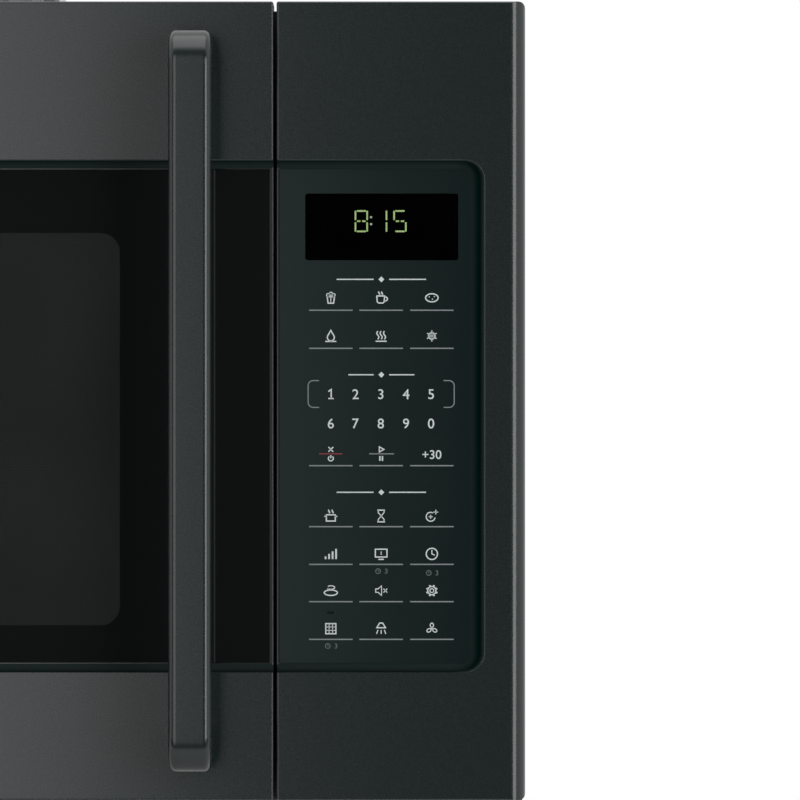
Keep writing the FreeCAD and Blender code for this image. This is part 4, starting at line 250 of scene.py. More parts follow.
def hollow_painted_shade():
    """Painted shade and rim highlight in the hollow, matt, by depth and side. The floor left of the overlay is
    as glossy as the front.
    """
    look = Look("slate_hollow_painted_shade", specular=0.0)
    low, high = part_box("touch_overlay")
    face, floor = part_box("control_housing")[0].y, low.y + OVERLAY_THICKNESS * MM
    parts = look.axes()
    depth = look.between(parts["Y"], 0.0, 1.0, floor, face)
    # These ramps paint the hollow's shade and its rim's highlight into the colour.
    at_side, at_top, at_foot = (look.ramp(depth, *tones) for tones in (SIDE_SHADE_AND_HIGHLIGHT_TONES, TOP_SHADE_AND_HIGHLIGHT_TONES, FOOT_SHADE_TONES))
    blend = (high.x - BLEND_INSIDE * MM, high.x + BLEND_OUTSIDE * MM)
    sideways = look.between(look.math("ABSOLUTE", parts["X"]), 0.0, 1.0, *blend)
    upper = look.math("GREATER_THAN", parts["Z"], (low.z + high.z) / 2)
    tone = look.mixed(sideways, look.mixed(upper, at_foot, at_top), at_side)
    on_floor = look.math("GREATER_THAN", parts["Y"], floor - FLOOR_MARGIN * MM)
    strip = look.math("MULTIPLY", on_floor, look.math("LESS_THAN", parts["X"], low.x + STRIP_LAP * MM))
    tone = look.mixed(strip, tone, SLATE)
    fleck = look.mixed(0.08, tone, grey(0.0))
    look.colour(look.mixed(look.noise(0.8, 3.0), fleck, tone))
    look.rough(look.between(strip, HOLLOW_ROUGHNESS, SLATE_ROUGHNESS))
    look.feed("Specular IOR Level", look.between(strip, 0.0, 0.5))
    return look.raised(look.noise(1.6, 1.0), 0.01)


def case_black():
    return painted("case_black", grey(0.012), grey(0.018), 0.45, relief_mm=0.02, grain_mm=1.2)


def galvanized_steel():
    """Zinc spangle: flat crystals of slightly different grey."""
    look = Look("galvanized_steel", metallic=0.9)
    value = look.cell_value(5.0)
    look.colour(look.ramp(value, (0.0, (0.44, 0.45, 0.46)), (1.0, (0.60, 0.61, 0.62))))
    look.rough(look.between(value, 0.34, 0.52))
    return look.raised(look.noise(0.6, 2.0), 0.004)


def cavity_enamel():
    """Grey enamel with fine darker and lighter specks."""
    look = Look("cavity_enamel", specular=0.5)
    ground = look.ramp(look.noise(30.0, 2.0), (0.3, (0.50, 0.51, 0.50)), (0.7, (0.56, 0.57, 0.56)))
    dark = look.math("LESS_THAN", look.cells(2.2), 0.16)
    light = look.math("GREATER_THAN", look.noise(0.9, 1.0), 0.68)
    speckled = look.mixed(dark, ground, (0.20, 0.20, 0.20))
    look.colour(look.mixed(light, speckled, (0.72, 0.73, 0.72)))
    look.rough(look.between(look.noise(6.0), 0.22, 0.32))
    return look.raised(look.noise(2.0, 1.0), 0.015)


def window_mask(look, low, high, corner):
    """1 inside an upright rectangle with round corners, 0 outside."""
    parts = look.axes()
    squares = None
    for axis, a, b in (("X", low[0], high[0]), ("Z", low[1], high[1])):
        centre, half = (a + b) / 2, (b - a) / 2 - corner
        off = look.math("SUBTRACT", look.math("ABSOLUTE", look.math("SUBTRACT", parts[axis], centre)), half)
        beyond = look.math("MAXIMUM", off, 0.0)
        power = look.math("MULTIPLY", beyond, beyond)
        squares = power if squares is None else look.math("ADD", squares, power)
    return look.math("LESS_THAN", squares, corner ** 2)


GLASS_CLEARNESS = 0.92


def black_glass():
    """The door's pane: black printed border round a smoked window that the screen shows through."""
    look = Look("black_glass").set(IOR=1.5)
    low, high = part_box("door_screen")
    inset, corner = 6 * MM, 10 * MM
    clear = window_mask(look, (low.x + inset, low.z + inset), (high.x - inset, high.z - inset), corner)
    look.feed("Transmission Weight", look.math("MULTIPLY", clear, GLASS_CLEARNESS))
    smoke = look.ramp(look.noise(60.0, 1.0), (0.3, (0.12, 0.13, 0.13)), (0.7, (0.14, 0.15, 0.15)))
    look.colour(look.mixed(clear, (0.006, 0.007, 0.007), smoke))
    look.rough(look.between(look.noise(50.0, 2.0), 0.02, 0.05))
    return look.raised(look.noise(90.0, 0.0), 0.02)


def clear_glass(name, tint, roughness, waviness_mm):
    look = Look(name).set(IOR=1.5, Transmission_Weight=GLASS_CLEARNESS)
    look.colour(look.ramp(look.noise(25.0, 2.0), (0.3, tint), (0.7, tuple(min(1, c * 1.04) for c in tint))))
    look.rough(look.between(look.noise(12.0, 2.0), roughness, roughness + 0.05))
    return look.raised(look.noise(18.0, 1.0), waviness_mm)


def tray_glass():
    return clear_glass("tray_glass", (0.84, 0.90, 0.88), 0.02, 0.05)


def lamp_glass():
    """Frosted glass with a fine pattern of prisms."""
    look = clear_glass("lamp_glass", (0.86, 0.87, 0.87), 0.35, 0.02)
    return look.raised(look.cells(3.0, randomness=0.0), 0.25)


def clear_film():
    """Smoke-clear protective film, slightly wavy."""
    look = Look("clear_film", specular=0.5).set(Transmission_Weight=0.9, IOR=1.45)
    look.colour(look.ramp(look.noise(40.0), (0.3, grey(0.50)), (0.7, grey(0.56))))
    look.rough(look.between(look.noise(9.0), 0.04, 0.10))
    return look.raised(look.noise(60.0, 0.0), 0.02)


def keypad_film():
    """Satin overlay of the touch panel with a very fine texture. Its colour has a painted sheen towards the
    left and painted shade towards its closed end.
    """
    look = Look("keypad_film", specular=0.08)
    low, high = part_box("touch_overlay")
    fade = look.between(look.axes()["X"], 0.0, 1.0, low.x, high.x)
    # Painted light: the colour falls from the left to the closed end, as the sheen and shade do.
    tone = look.ramp(fade, (0.0, (0.0131, 0.0210, 0.0204)), (0.55, (0.0070, 0.0133, 0.0129)),
                     (1.0, (0.0029, 0.0094, 0.0091)))
    darker = look.mixed(0.10, tone, grey(0.0))
    look.colour(look.mixed(look.noise(0.7, 2.0), darker, tone))
    look.rough(look.between(look.noise(1.5), 0.40, 0.48))
    return look.raised(look.noise(0.5, 1.0), 0.004)


def display_lens():
    """Gloss black window of the display."""
    look = Look("display_lens", specular=0.03)
    look.colour(look.ramp(look.noise(20.0), (0.3, grey(0.0003)), (0.7, grey(0.0007))))
    look.rough(look.between(look.noise(15.0), 0.10, 0.16))
    return look.raised(look.noise(60.0, 0.0), 0.01)


def mica():
    look = Look("mica", specular=0.4)
    flake = look.noise(9.0, 4.0, (1, 1, 1), 0.65)
    look.colour(look.ramp(flake, (0.25, (0.40, 0.36, 0.29)), (0.75, (0.62, 0.58, 0.49))))
    look.rough(look.between(flake, 0.35, 0.6))
    return look.raised(look.noise(2.5, 3.0), 0.03)


def circuit_green():
    """Solder mask over a net of copper tracks, with tinned pads."""
    look = Look("circuit_green")
    track = look.node("ShaderNodeTexVoronoi", {"Vector": look.place, "Scale": 1 / (7 * MM)},
                      feature="F1", distance="MANHATTAN").outputs["Distance"]
    line = look.math("GREATER_THAN", look.math("PINGPONG", track, 0.12), 0.08)
    board = look.mixed(line, (0.012, 0.085, 0.030), (0.022, 0.150, 0.055))
    pad = look.holes(5.08, 0.7)
    look.colour(look.mixed(pad, board, (0.62, 0.62, 0.60)))
    look.rough(look.between(look.noise(5.0), 0.28, 0.40))
    return look.raised(line, 0.03)


def parts_mixed():
    """Component bodies, each of one of a few plastics."""
    look = Look("parts_mixed", specular=0.45)
    pick = look.cell_value(21.0)
    look.colour(look.ramp(pick, (0.0, grey(0.02)), (0.40, (0.03, 0.04, 0.09)), (0.55, (0.70, 0.69, 0.64)),
                          (0.80, (0.10, 0.09, 0.07))))
    look.rough(look.between(look.noise(3.0), 0.35, 0.5))
    return look.raised(look.noise(0.8, 2.0), 0.02)


def filter_mesh():
    """Layers of expanded aluminium: bright strands over dark gaps."""
    look = Look("filter_mesh", metallic=0.9)
    gap = look.holes(4.0, 1.25, "XY")
    strand = look.noise(0.5, 2.0, (0.3, 1, 1))
    bright = look.ramp(strand, (0.3, (0.55, 0.56, 0.57)), (0.7, (0.74, 0.75, 0.76)))
    look.colour(look.mixed(gap, bright, (0.07, 0.07, 0.07)))
    look.rough(look.between(gap, 0.34, 0.7))
    return look.raised(look.math("SUBTRACT", 1.0, gap), 0.6)


def charcoal():
    look = Look("charcoal", specular=0.3)
    grain = look.cells(2.4)
    look.colour(look.ramp(grain, (0.1, grey(0.045)), (0.8, grey(0.006))))
    look.rough(look.between(grain, 0.6, 0.95))
    return look.raised(look.math("SUBTRACT", 1.0, grain), 1.2)


def transformer_steel():
    """Varnished laminations: fine layers seen on edge."""
    look = Look("transformer_steel", metallic=0.35, specular=0.5)
    layer = look.node("ShaderNodeTexWave", {"Vector": look.place, "Scale": 0.5 / (1.0 * MM) / math.pi},
                      bands_direction="X").outputs["Fac"]
    look.colour(look.ramp(layer, (0.3, (0.055, 0.042, 0.034)), (0.7, (0.15, 0.12, 0.10))))
    look.rough(look.between(look.noise(3.0), 0.35, 0.55))
    return look.raised(layer, 0.12)


def perforated_screen():
    """Black sheet with a fine staggered grid of holes, clear where the holes are."""
    look = Look("door_screen_holes", metallic=0.2, specular=0.3)
    solid = look.math("SUBTRACT", 1.0, look.holes(1.7, 0.55))
    look.feed("Alpha", solid)
    look.colour(look.ramp(look.noise(3.0), (0.3, grey(0.010)), (0.7, grey(0.016))))
    look.rough(look.between(look.noise(2.0), 0.45, 0.6))
    return look.raised(solid, 0.2)


def dark_print():
    return moulded("indicator_lens_dark", (0.0060, 0.0090, 0.0088), (0.0085, 0.0115, 0.0112), 0.25)


def ink(name, tone):
    """Screen-printed ink, with the faint unevenness of a print."""
    look = Look(name, specular=0.15)
    dimmer = tuple(c * 0.86 for c in tone)
    look.colour(look.ramp(look.noise(0.9, 2.0), (0.3, dimmer), (0.7, tone)))
    look.rough(look.between(look.noise(2.0), 0.55, 0.7))
    return look.raised(look.noise(0.6, 1.0), 0.006)


def lit(name, tone, strength):
    """A lit segment: the light is a little weaker at some places than at others."""
    look = Look(name, specular=0.1)
    glow = look.ramp(look.noise(1.6, 1.0), (0.3, tuple(c * 0.80 for c in tone)), (0.7, tone))
    look.colour(glow).feed("Emission Color", glow)
    return look.set(Emission_Strength=strength)


LOOKS = {
    "slate_metal": slate_metal,
    "case_black": case_black,
    "galvanized_steel": galvanized_steel,
    "cavity_enamel": cavity_enamel,
    "black_glass": black_glass,
    "tray_glass": tray_glass,
    "lamp_glass": lamp_glass,
    "clear_film": clear_film,
    "keypad_film": keypad_film,
    "display_lens": display_lens,
    "black_plastic": lambda: moulded("black_plastic", grey(0.016), grey(0.024), 0.48, specular=0.4),
    "white_plastic": lambda: moulded("white_plastic", (0.66, 0.65, 0.62), (0.72, 0.71, 0.68), 0.42),
    "mica": mica,
    "circuit_green": circuit_green,
    "parts_mixed": parts_mixed,
    "steel": lambda: metal("steel", grey(0.46), grey(0.56), 0.34, (1, 1, 0.05)),
    "screw_steel": lambda: metal("screw_steel", grey(0.50), grey(0.60), 0.26),
    "spring_steel": lambda: metal("spring_steel", grey(0.40), grey(0.52), 0.24, (1, 1, 0.2)),
    "aluminium": lambda: metal("aluminium", (0.66, 0.67, 0.68), (0.78, 0.79, 0.80), 0.36, (0.06, 1, 1)),
    "filter_mesh": filter_mesh,
    "charcoal": charcoal,
    "transformer_steel": transformer_steel,
    "rubber": lambda: moulded("rubber", grey(0.014), grey(0.022), 0.75, specular=0.2),
}
materials = {name: build().material for name, build in LOOKS.items()}
for part in frame["record"]["subparts"]:
    mesh = NODES[part["node"]].data
    mesh.materials.clear()
    mesh.materials.append(materials[part["material_slot"]])
NODES["door_screen"].data.materials[0] = perforated_screen().material

HOLLOW_REACH = 6.0             # hollow's extent above and below the overlay
HOLLOW_END = 8.0               # hollow's extent past the overlay's end, at both ends of the band
SIDE_RIM = 0.25                # depth of the rim that keeps the front's paint, beside the overlay
RIM = 0.02                     # and above and below it
FORWARD = -0.02                # faces turned less towards the front than this keep their paint


def give_hollow_painted_shade(node, material):
    """Gives the band's hollow and floor the material with the painted shade and rim highlight. The hollow's
    rim keeps the front's.
    """
    mesh = NODES[node].data
    mesh.materials.append(material)
    low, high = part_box("touch_overlay")
    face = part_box("control_housing")[0].y
    floor = low.y + (OVERLAY_THICKNESS + FLOOR_MARGIN) * MM
    reach = (low.z - HOLLOW_REACH * MM, high.z + HOLLOW_REACH * MM)
    end = high.x + HOLLOW_END * MM
    for polygon in mesh.polygons:
        centre = polygon.center
        inside = abs(centre.x) < end and reach[0] < centre.z < reach[1]
        beside = abs(centre.x) > high.x and centre.z > low.z
        rim = (SIDE_RIM if beside else RIM) * MM
        if inside and face + rim < centre.y < floor and polygon.normal.y < FORWARD:
            polygon.material_index = 1


# The hollow's painted shade and painted rim highlight, on the housing and on the door's frame.
hollow = hollow_painted_shade().material
for node in ("control_housing", "door_frame"):
    give_hollow_painted_shade(node, hollow)


def made_object(name, mesh, material):
    """A linked object of one material from a bmesh, which is used up."""
    data = bpy.data.meshes.new(name)
    mesh.to_mesh(data)
    mesh.free()
    data.materials.append(material)
    piece = bpy.data.objects.new(name, data)
    bpy.context.collection.objects.link(piece)
    return piece


# ---------------------------------------------------------------- printed and lit marks
PRINT_HEIGHT = 0.05 * MM
STROKE = 0.62


class Plates:
    """Flat plates in an upright plane, such as print or lit segments. Places are (x, z) in millimetres."""

    def __init__(self, name, material, face_y, body):
        self.name, self.material, self.body = name, material, body
        self.front, self.back = face_y - PRINT_HEIGHT, face_y
        self.mesh = bmesh.new()

    def plate(self, outline):
        """One plate with the given outline, counterclockwise as seen from the front."""
        front = [self.mesh.verts.new((x * MM, self.front, z * MM)) for x, z in outline]
        back = [self.mesh.verts.new((x * MM, self.back, z * MM)) for x, z in outline]
        self.mesh.faces.new(front)
        self.mesh.faces.new(back[::-1])
        for n in range(len(outline)):
            last = n - 1
            self.mesh.faces.new((front[last], back[last], back[n], front[n]))

    def bar(self, x, z, width, height):
        w, h = width / 2, height / 2
        self.plate([(x - w, z - h), (x + w, z - h), (x + w, z + h), (x - w, z + h)])

    def stroke(self, points, width=STROKE, closed=False):
        """A line of even width through the points, mitred at its bends."""
        count = len(points)
        sides = []
        for n, (x, z) in enumerate(points):
            before = points[n - 1] if n or closed else None
            after = points[(n + 1) % count] if n < count - 1 or closed else None
            ways = []
            for a, b in ((before, (x, z)), ((x, z), after)):
                if a and b:
                    length = math.dist(a, b)
                    ways.append(((b[0] - a[0]) / length, (b[1] - a[1]) / length))
            along = (sum(w[0] for w in ways), sum(w[1] for w in ways))
            size = math.hypot(*along)
            across = (-along[1] / size, along[0] / size)
            lean = across[0] * -ways[0][1] + across[1] * ways[0][0]
            reach = width / 2 / max(lean, 0.5)
            out_x, out_z = across[0] * reach, across[1] * reach
            sides.append(((x + out_x, z + out_z), (x - out_x, z - out_z)))
        for n in range(count if closed else count - 1):
            (left, right), (left_on, right_on) = sides[n], sides[(n + 1) % count]
            self.plate([right, right_on, left_on, left])

    def finish(self):
        bmesh.ops.remove_doubles(self.mesh, verts=self.mesh.verts, dist=1e-9)
        piece = made_object(self.name, self.mesh, self.material)
        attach(piece, self.body)


def arc(x, z, radius_x, radius_z, start, end, steps):
    """Points on part of an ellipse, from one angle to another in degrees."""
    angles = [math.radians(start + (end - start) * n / (steps - 1)) for n in range(steps)]
    return [(x + radius_x * math.cos(a), z + radius_z * math.sin(a)) for a in angles]


def oval(x, z, radius_x, radius_z, steps=24):
    """Points round a whole ellipse, without the first one again at the end."""
    return arc(x, z, radius_x, radius_z, 0, 360 - 360 / steps, steps)


def wave(x, z, length, reach):
    """A short upright wavy line, as drawn for steam."""
    last = 12
    return [(x + reach * math.sin(2 * math.pi * n / last), z + length * (n / last - 0.5))
            for n in range(last + 1)]


NUMBER_WEIGHT = 0.005


def number(plates, text, x, z, height):
    """Plain digits in Blender's own face, centred on a place and scaled to a height."""
    curve = bpy.data.curves.new("digits", "FONT")
    curve.body = text
    curve.offset = NUMBER_WEIGHT
    holder = bpy.data.objects.new("digits", curve)
    bpy.context.collection.objects.link(holder)
    bpy.context.view_layer.update()
    shape = bpy.data.meshes.new_from_object(holder.evaluated_get(bpy.context.evaluated_depsgraph_get()))
    low = [min(v.co[axis] for v in shape.vertices) for axis in (0, 1)]
    high = [max(v.co[axis] for v in shape.vertices) for axis in (0, 1)]
    scale = height / (high[1] - low[1])
    middle = [(a + b) / 2 for a, b in zip(low, high)]
    for polygon in shape.polygons:
        corners = [shape.vertices[i].co for i in polygon.vertices]
        outline = [(x + (c.x - middle[0]) * scale, z + (c.y - middle[1]) * scale) for c in corners]
        plates.plate(outline)
    bpy.data.objects.remove(holder)


class Pen:
    """Draws at a place and scale. Each symbol is drawn round (0, 0), about 6 mm high."""

    def __init__(self, plates, x, z, scale=1.0):
        self.plates, self.x, self.z, self.scale = plates, x, z, scale

    def at(self, points):
        return [(self.x + x * self.scale, self.z + z * self.scale) for x, z in points]

    def line(self, *points, closed=False, width=STROKE):
        self.plates.stroke(self.at(points), width, closed)

    def fill(self, *points):
        self.plates.plate(self.at(points))

    def circle(self, x, z, radius, width=STROKE):
        self.line(*oval(x, z, radius, radius), closed=True, width=width)

    def dot(self, x, z, radius):
        self.fill(*oval(x, z, radius, radius, 20))


def popcorn_bag(pen):
    pen.line((-2.0, 0.6), (-1.5, -2.9), (1.5, -2.9), (2.0, 0.6), closed=True)
    for x, z in ((-1.5, 1.5), (0.0, 2.2), (1.5, 1.5)):
        pen.circle(x, z, 0.8, 0.5)
    pen.line((0, 0.3), (0, -2.5), width=0.45)


def cup(pen):
    pen.line((-2.4, 1.0), (-2.1, -2.2), (-1.5, -2.8), (1.0, -2.8), (1.6, -2.2), (1.9, 1.0), closed=True)
    pen.line(*arc(1.9, -0.6, 1.5, 1.2, 75, -80, 10))
    for x in (-1.1, 0.5):
        pen.line(*wave(x, 2.5, 1.7, 0.3))


def potato(pen):
    pen.line(*oval(0, 0, 3.4, 2.2), closed=True)
    for x, z in ((-1.4, 0.5), (0.3, -0.7), (1.4, 0.6)):
        pen.dot(x, z, 0.32)


def drop(pen):
    pen.line((0, 3.0), *arc(0, -0.8, 1.9, 1.9, 35, -215, 20), closed=True)
    pen.line((-3.0, -3.0), (3.0, -3.0))


def heat_waves(pen):
    for x in (-1.8, 0.0, 1.8):
        pen.line(*wave(x, 0.4, 4.4, 0.55))
    pen.line((-3.0, -2.9), (3.0, -2.9))


def snowflake(pen):
    for turn in range(3):
        a = math.radians(90 + 60 * turn)
        c, s = math.cos(a), math.sin(a)
        pen.line((-3 * c, -3 * s), (3 * c, 3 * s), width=0.5)
        for side in (-1, 1):
            fork = [(1.0, 0.0), (1.9, 0.9), (1.9, -0.9)]
            root, up, down = [(side * (u * c - v * s), side * (u * s + v * c)) for u, v in fork]
            pen.line(up, root, down, width=0.45)


def stop_mark(pen):
    pen.line((-1.3, 1.1), (1.3, 3.7), width=0.6)
    pen.line((-1.3, 3.7), (1.3, 1.1), width=0.6)
    pen.line(*arc(0, -2.5, 1.35, 1.35, 125, 415, 20), width=0.55)
    pen.line((0, -2.4), (0, -0.7), width=0.55)


def start_mark(pen):
    pen.line((-1.0, 1.0), (1.5, 2.4), (-1.0, 3.8), closed=True, width=0.55)
    for x in (-0.7, 0.7):
        pen.line((x, -3.8), (x, -1.2), width=0.7)


def pot(pen):
    pen.line((-2.3, 0.6), (-2.3, -2.6), (2.3, -2.6), (2.3, 0.6), closed=True)
    for side in (-1, 1):
        pen.line((2.3 * side, -0.2), (3.4 * side, -0.2))
    for x in (-0.9, 0.9):
        pen.line(*wave(x, 2.3, 1.8, 0.3))


def hourglass(pen):
    for z in (3.0, -3.0):
        pen.line((-2.0, z), (2.0, z))
    pen.line((-1.5, 2.9), (-1.5, 1.8), (1.5, -1.8), (1.5, -2.9), width=0.5)
    pen.line((1.5, 2.9), (1.5, 1.8), (-1.5, -1.8), (-1.5, -2.9), width=0.5)


def clean_mark(pen):
    pen.line(*arc(-0.6, -0.4, 2.3, 2.3, 60, 350, 20), width=0.55)
    for x, z, size in ((2.0, 2.0, 1.2), (-0.6, -0.4, 1.0)):
        pen.line((x - size, z), (x + size, z), width=0.45)
        pen.line((x, z - size), (x, z + size), width=0.45)


def level_bars(pen):
    for n in range(4):
        x = -2.7 + 1.8 * n
        pen.line((x, -2.7), (x, -1.3 + 1.3 * n), width=0.9)


def small_screen(pen):
    pen.line((-3.0, -1.6), (3.0, -1.6), (3.0, 2.4), (-3.0, 2.4), closed=True)
    pen.line((-1.4, -2.8), (1.4, -2.8))
    pen.dot(0, 0.9, 0.35)
    pen.dot(0, -0.1, 0.35)


def clock(pen):
    pen.circle(0, 0, 2.9)
    pen.line((0, 2.0), (0, 0), (1.5, -0.7), width=0.55)


def turning_tray(pen):
    pen.line(*oval(0, -1.1, 3.4, 1.4), closed=True)
    pen.line(*arc(0, 1.6, 2.0, 0.9, 200, 500, 18), width=0.5)
    pen.fill((-1.9, 0.2), (-0.8, 0.8), (-1.9, 1.4))


def muted_speaker(pen):
    horn = ((-2.8, -0.9), (-1.6, -0.9), (0.2, -2.4), (0.2, 2.4), (-1.6, 0.9), (-2.8, 0.9))
    pen.line(*horn, closed=True, width=0.5)
    pen.line((1.2, -1.0), (3.1, 1.0), width=0.5)
    pen.line((1.2, 1.0), (3.1, -1.0), width=0.5)


def gear(pen):
    pen.circle(0, 0, 1.0, 0.5)
    pen.circle(0, 0, 2.1, 0.6)
    for turn in range(8):
        a = math.radians(22.5 + 45 * turn)
        root, tip = [(radius * math.cos(a), radius * math.sin(a)) for radius in (2.3, 3.0)]
        pen.line(root, tip, width=0.9)


def mesh_square(pen):
    pen.line((-2.6, -2.6), (2.6, -2.6), (2.6, 2.6), (-2.6, 2.6), closed=True)
    for place in (-0.9, 0.9):
        pen.line((place, -2.5), (place, 2.5), width=0.4)
        pen.line((-2.5, place), (2.5, place), width=0.4)


def lamp(pen):
    pen.line((-0.8, 2.9), (0.8, 2.9), (2.2, 0.5), (-2.2, 0.5), closed=True)
    for x, spread in ((-1.6, -0.8), (0.0, 0.0), (1.6, 0.8)):
        pen.line((x, -0.6), (x + spread, -2.7), width=0.5)


def fan(pen):
    pen.dot(0, 0, 0.55)
    for turn in range(3):
        a = math.radians(90 + 120 * turn)
        c, s = math.cos(a), math.sin(a)
        blade = arc(1.75, 0, 1.15, 0.85, 170, -190, 16)[:-1]
        pen.line(*[(u * c - v * s, u * s + v * c) for u, v in blade], closed=True, width=0.5)


OVERLAY_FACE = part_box("touch_overlay")[0].y
COLUMNS = (279.4, 305.3, 331.4)
KEY_LINES = (254.2, 234.6, 174.2, 142.8, 123.4, 104.2, 84.8)
KEY_LINE = (22.4, 0.62)                         # width and height of a line under a key
STOP_LINE = (279.3, 180.3, 11.9, 0.6)           # x, z, width and height of the lines through two symbols
START_LINE = (305.5, 180.3, 12.9, 0.5)
HEADINGS = ((270.1, 19.0), (221.0, 13.0), (160.5, 19.0))    # z and length of half a divider
HEADING_X, HEADING_WIDTH = 305.4, 0.6
HEADING_GAP = 4.0                               # from the divider's middle to each of its halves
DIAMOND = 1.5                                   # half of the mark between them
NUMBER_COLUMNS = (279.4, 292.1, 305.1, 318.1, 331.0)
NUMBER_ROWS = ((211.0, "12345"), (195.9, "67890"))
NUMBER_HEIGHT = 5.1
MORE_TIME_Z, MORE_TIME_HEIGHT = 179.9, 4.6
BRACKET_SIDES = ((1, 267.7, 273.3), (-1, 342.9, 337.4))     # way inwards, outer edge, end of the arms
BRACKET_TOP, BRACKET_FOOT, BRACKET_CORNER, BRACKET_WIDTH = 218.0, 204.2, 2.6, 0.5
NOTES = ((COLUMNS[1], 119.9), (COLUMNS[2], 119.0), (COLUMNS[0], 81.4))
NOTE_HEIGHT, NOTE_NUMBER_SHIFT, NOTE_CLOCK_SHIFT = 2.6, 2.6, -1.6
EDGE_INSET, EDGE_WIDTH = 0.25, 0.4
INDICATOR, INDICATOR_WIDTH = ((277.6, 98.5), (281.0, 98.5)), 1.5

print_light = ink("print_light", (0.55, 0.59, 0.59)).material
print_grey = ink("print_grey", (0.205, 0.225, 0.225)).material
print_dim = ink("print_dim", (0.116, 0.134, 0.134)).material
print_red = ink("print_red", (0.205, 0.038, 0.047)).material
# This ink is a painted shadow along the overlay's left edge.
painted_edge_shadow = ink("painted_edge_shadow", (0.0080, 0.0115, 0.0115)).material

lines = Plates("printed_key_lines", print_grey, OVERLAY_FACE, "chassis")
for z in KEY_LINES:
    for x in COLUMNS:
        lines.bar(x, z, *KEY_LINE)
lines.bar(*START_LINE)
for side, outer, inner in BRACKET_SIDES:
    corner_x = outer + side * BRACKET_CORNER
    corner = (side * BRACKET_CORNER, BRACKET_CORNER)
    top = arc(corner_x, BRACKET_TOP - BRACKET_CORNER, *corner, 180, 90, 7)
    foot = arc(corner_x, BRACKET_FOOT + BRACKET_CORNER, *corner, 270, 180, 7)
    lines.stroke([(inner, BRACKET_FOOT), *foot, *top, (inner, BRACKET_TOP)], BRACKET_WIDTH)
lines.finish()

headings = Plates("printed_dividers", print_light, OVERLAY_FACE, "chassis")
for z, length in HEADINGS:
    for side in (-1, 1):
        headings.bar(HEADING_X + side * (HEADING_GAP + length / 2), z, length, HEADING_WIDTH)
    headings.plate([(HEADING_X - DIAMOND, z), (HEADING_X, z - DIAMOND),
                    (HEADING_X + DIAMOND, z), (HEADING_X, z + DIAMOND)])
headings.finish()

numbers = Plates("printed_numbers", print_light, OVERLAY_FACE, "chassis")
for z, digits in NUMBER_ROWS:
    for x, digit in zip(NUMBER_COLUMNS, digits):
        if digit == "1":
            Pen(numbers, x, z).line((-1.3, 1.3), (0.2, 2.4), (0.2, -2.2), width=0.7)
            numbers.bar(x + 0.1, z - 2.25, 2.8, 0.6)
        else:
            number(numbers, digit, x, z, NUMBER_HEIGHT)
number(numbers, "+30", COLUMNS[2], MORE_TIME_Z, MORE_TIME_HEIGHT)
numbers.finish()

symbols = Plates("printed_symbols", print_light, OVERLAY_FACE, "chassis")
SYMBOLS = (
    (260.6, (popcorn_bag, cup, potato), 0.95),
    (241.0, (drop, heat_waves, snowflake), 0.95),
    (180.3, (stop_mark, start_mark, None), 0.95),
    (148.3, (pot, hourglass, clean_mark), 1.0),
    (128.8, (level_bars, small_screen, clock), 1.0),
    (109.9, (turning_tray, muted_speaker, gear), 1.0),
    (90.3, (mesh_square, lamp, fan), 1.0),
)
for z, drawn, scale in SYMBOLS:
    for x, symbol in zip(COLUMNS, drawn):
        if symbol:
            symbol(Pen(symbols, x, z, scale))
symbols.finish()

dim = Plates("printed_dim_marks", print_dim, OVERLAY_FACE, "chassis")
for x, z in NOTES:
    number(dim, "3", x + NOTE_NUMBER_SHIFT, z, NOTE_HEIGHT)
    pen = Pen(dim, x + NOTE_CLOCK_SHIFT, z)
    pen.circle(0, 0, 1.25, 0.4)
    pen.line((0, 0.8), (0, 0), (0.6, 0), width=0.3)
dim.finish()

low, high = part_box("touch_overlay")
# A dark strip along the overlay's left edge: a painted shadow of the edge.
edge = Plates("overlay_edge_painted_shadow", painted_edge_shadow, OVERLAY_FACE, "chassis")
edge.bar(low.x / MM + EDGE_INSET, (low.z + high.z) / 2 / MM, EDGE_WIDTH, (high.z - low.z) / MM - EDGE_WIDTH)
edge.finish()

red = Plates("printed_red_line", print_red, OVERLAY_FACE, "chassis")
red.bar(*STOP_LINE)
red.finish()

indicator = Plates("filter_indicator", dark_print().material, OVERLAY_FACE, "chassis")
indicator.stroke(INDICATOR, INDICATOR_WIDTH)
indicator.finish()

# The lit time is 8:15. The segments of a digit are named clockwise from the top, and then the middle.
SEGMENTS = {"8": "abcdefg", "1": "bc", "5": "acdfg"}
DIGITS = ((291.65, "8"), (301.6, "1"), (311.55, "5"))       # left edge and digit
DIGIT_TOP, DIGIT_FOOT, DIGIT_WIDTH, SEGMENT = 305.7, 294.4, 6.85, 0.82
LEVEL_GAP = 0.5                # level segments are this much shorter than the space between the upright ones
UPRIGHT_GAP = 0.9              # upright ones are this much shorter than half the digit
UPRIGHT_SHIFT = 0.15           # and lie this much further from the middle
SPLIT_SHIFT, SPLIT_WIDTH = 1.3, 1.7             # halves of the middle segment
COLON_X, COLON_DOTS, COLON_SIZE = 300.1, (302.1, 298.5), 1.0
LENS_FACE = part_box("display_window")[0].y


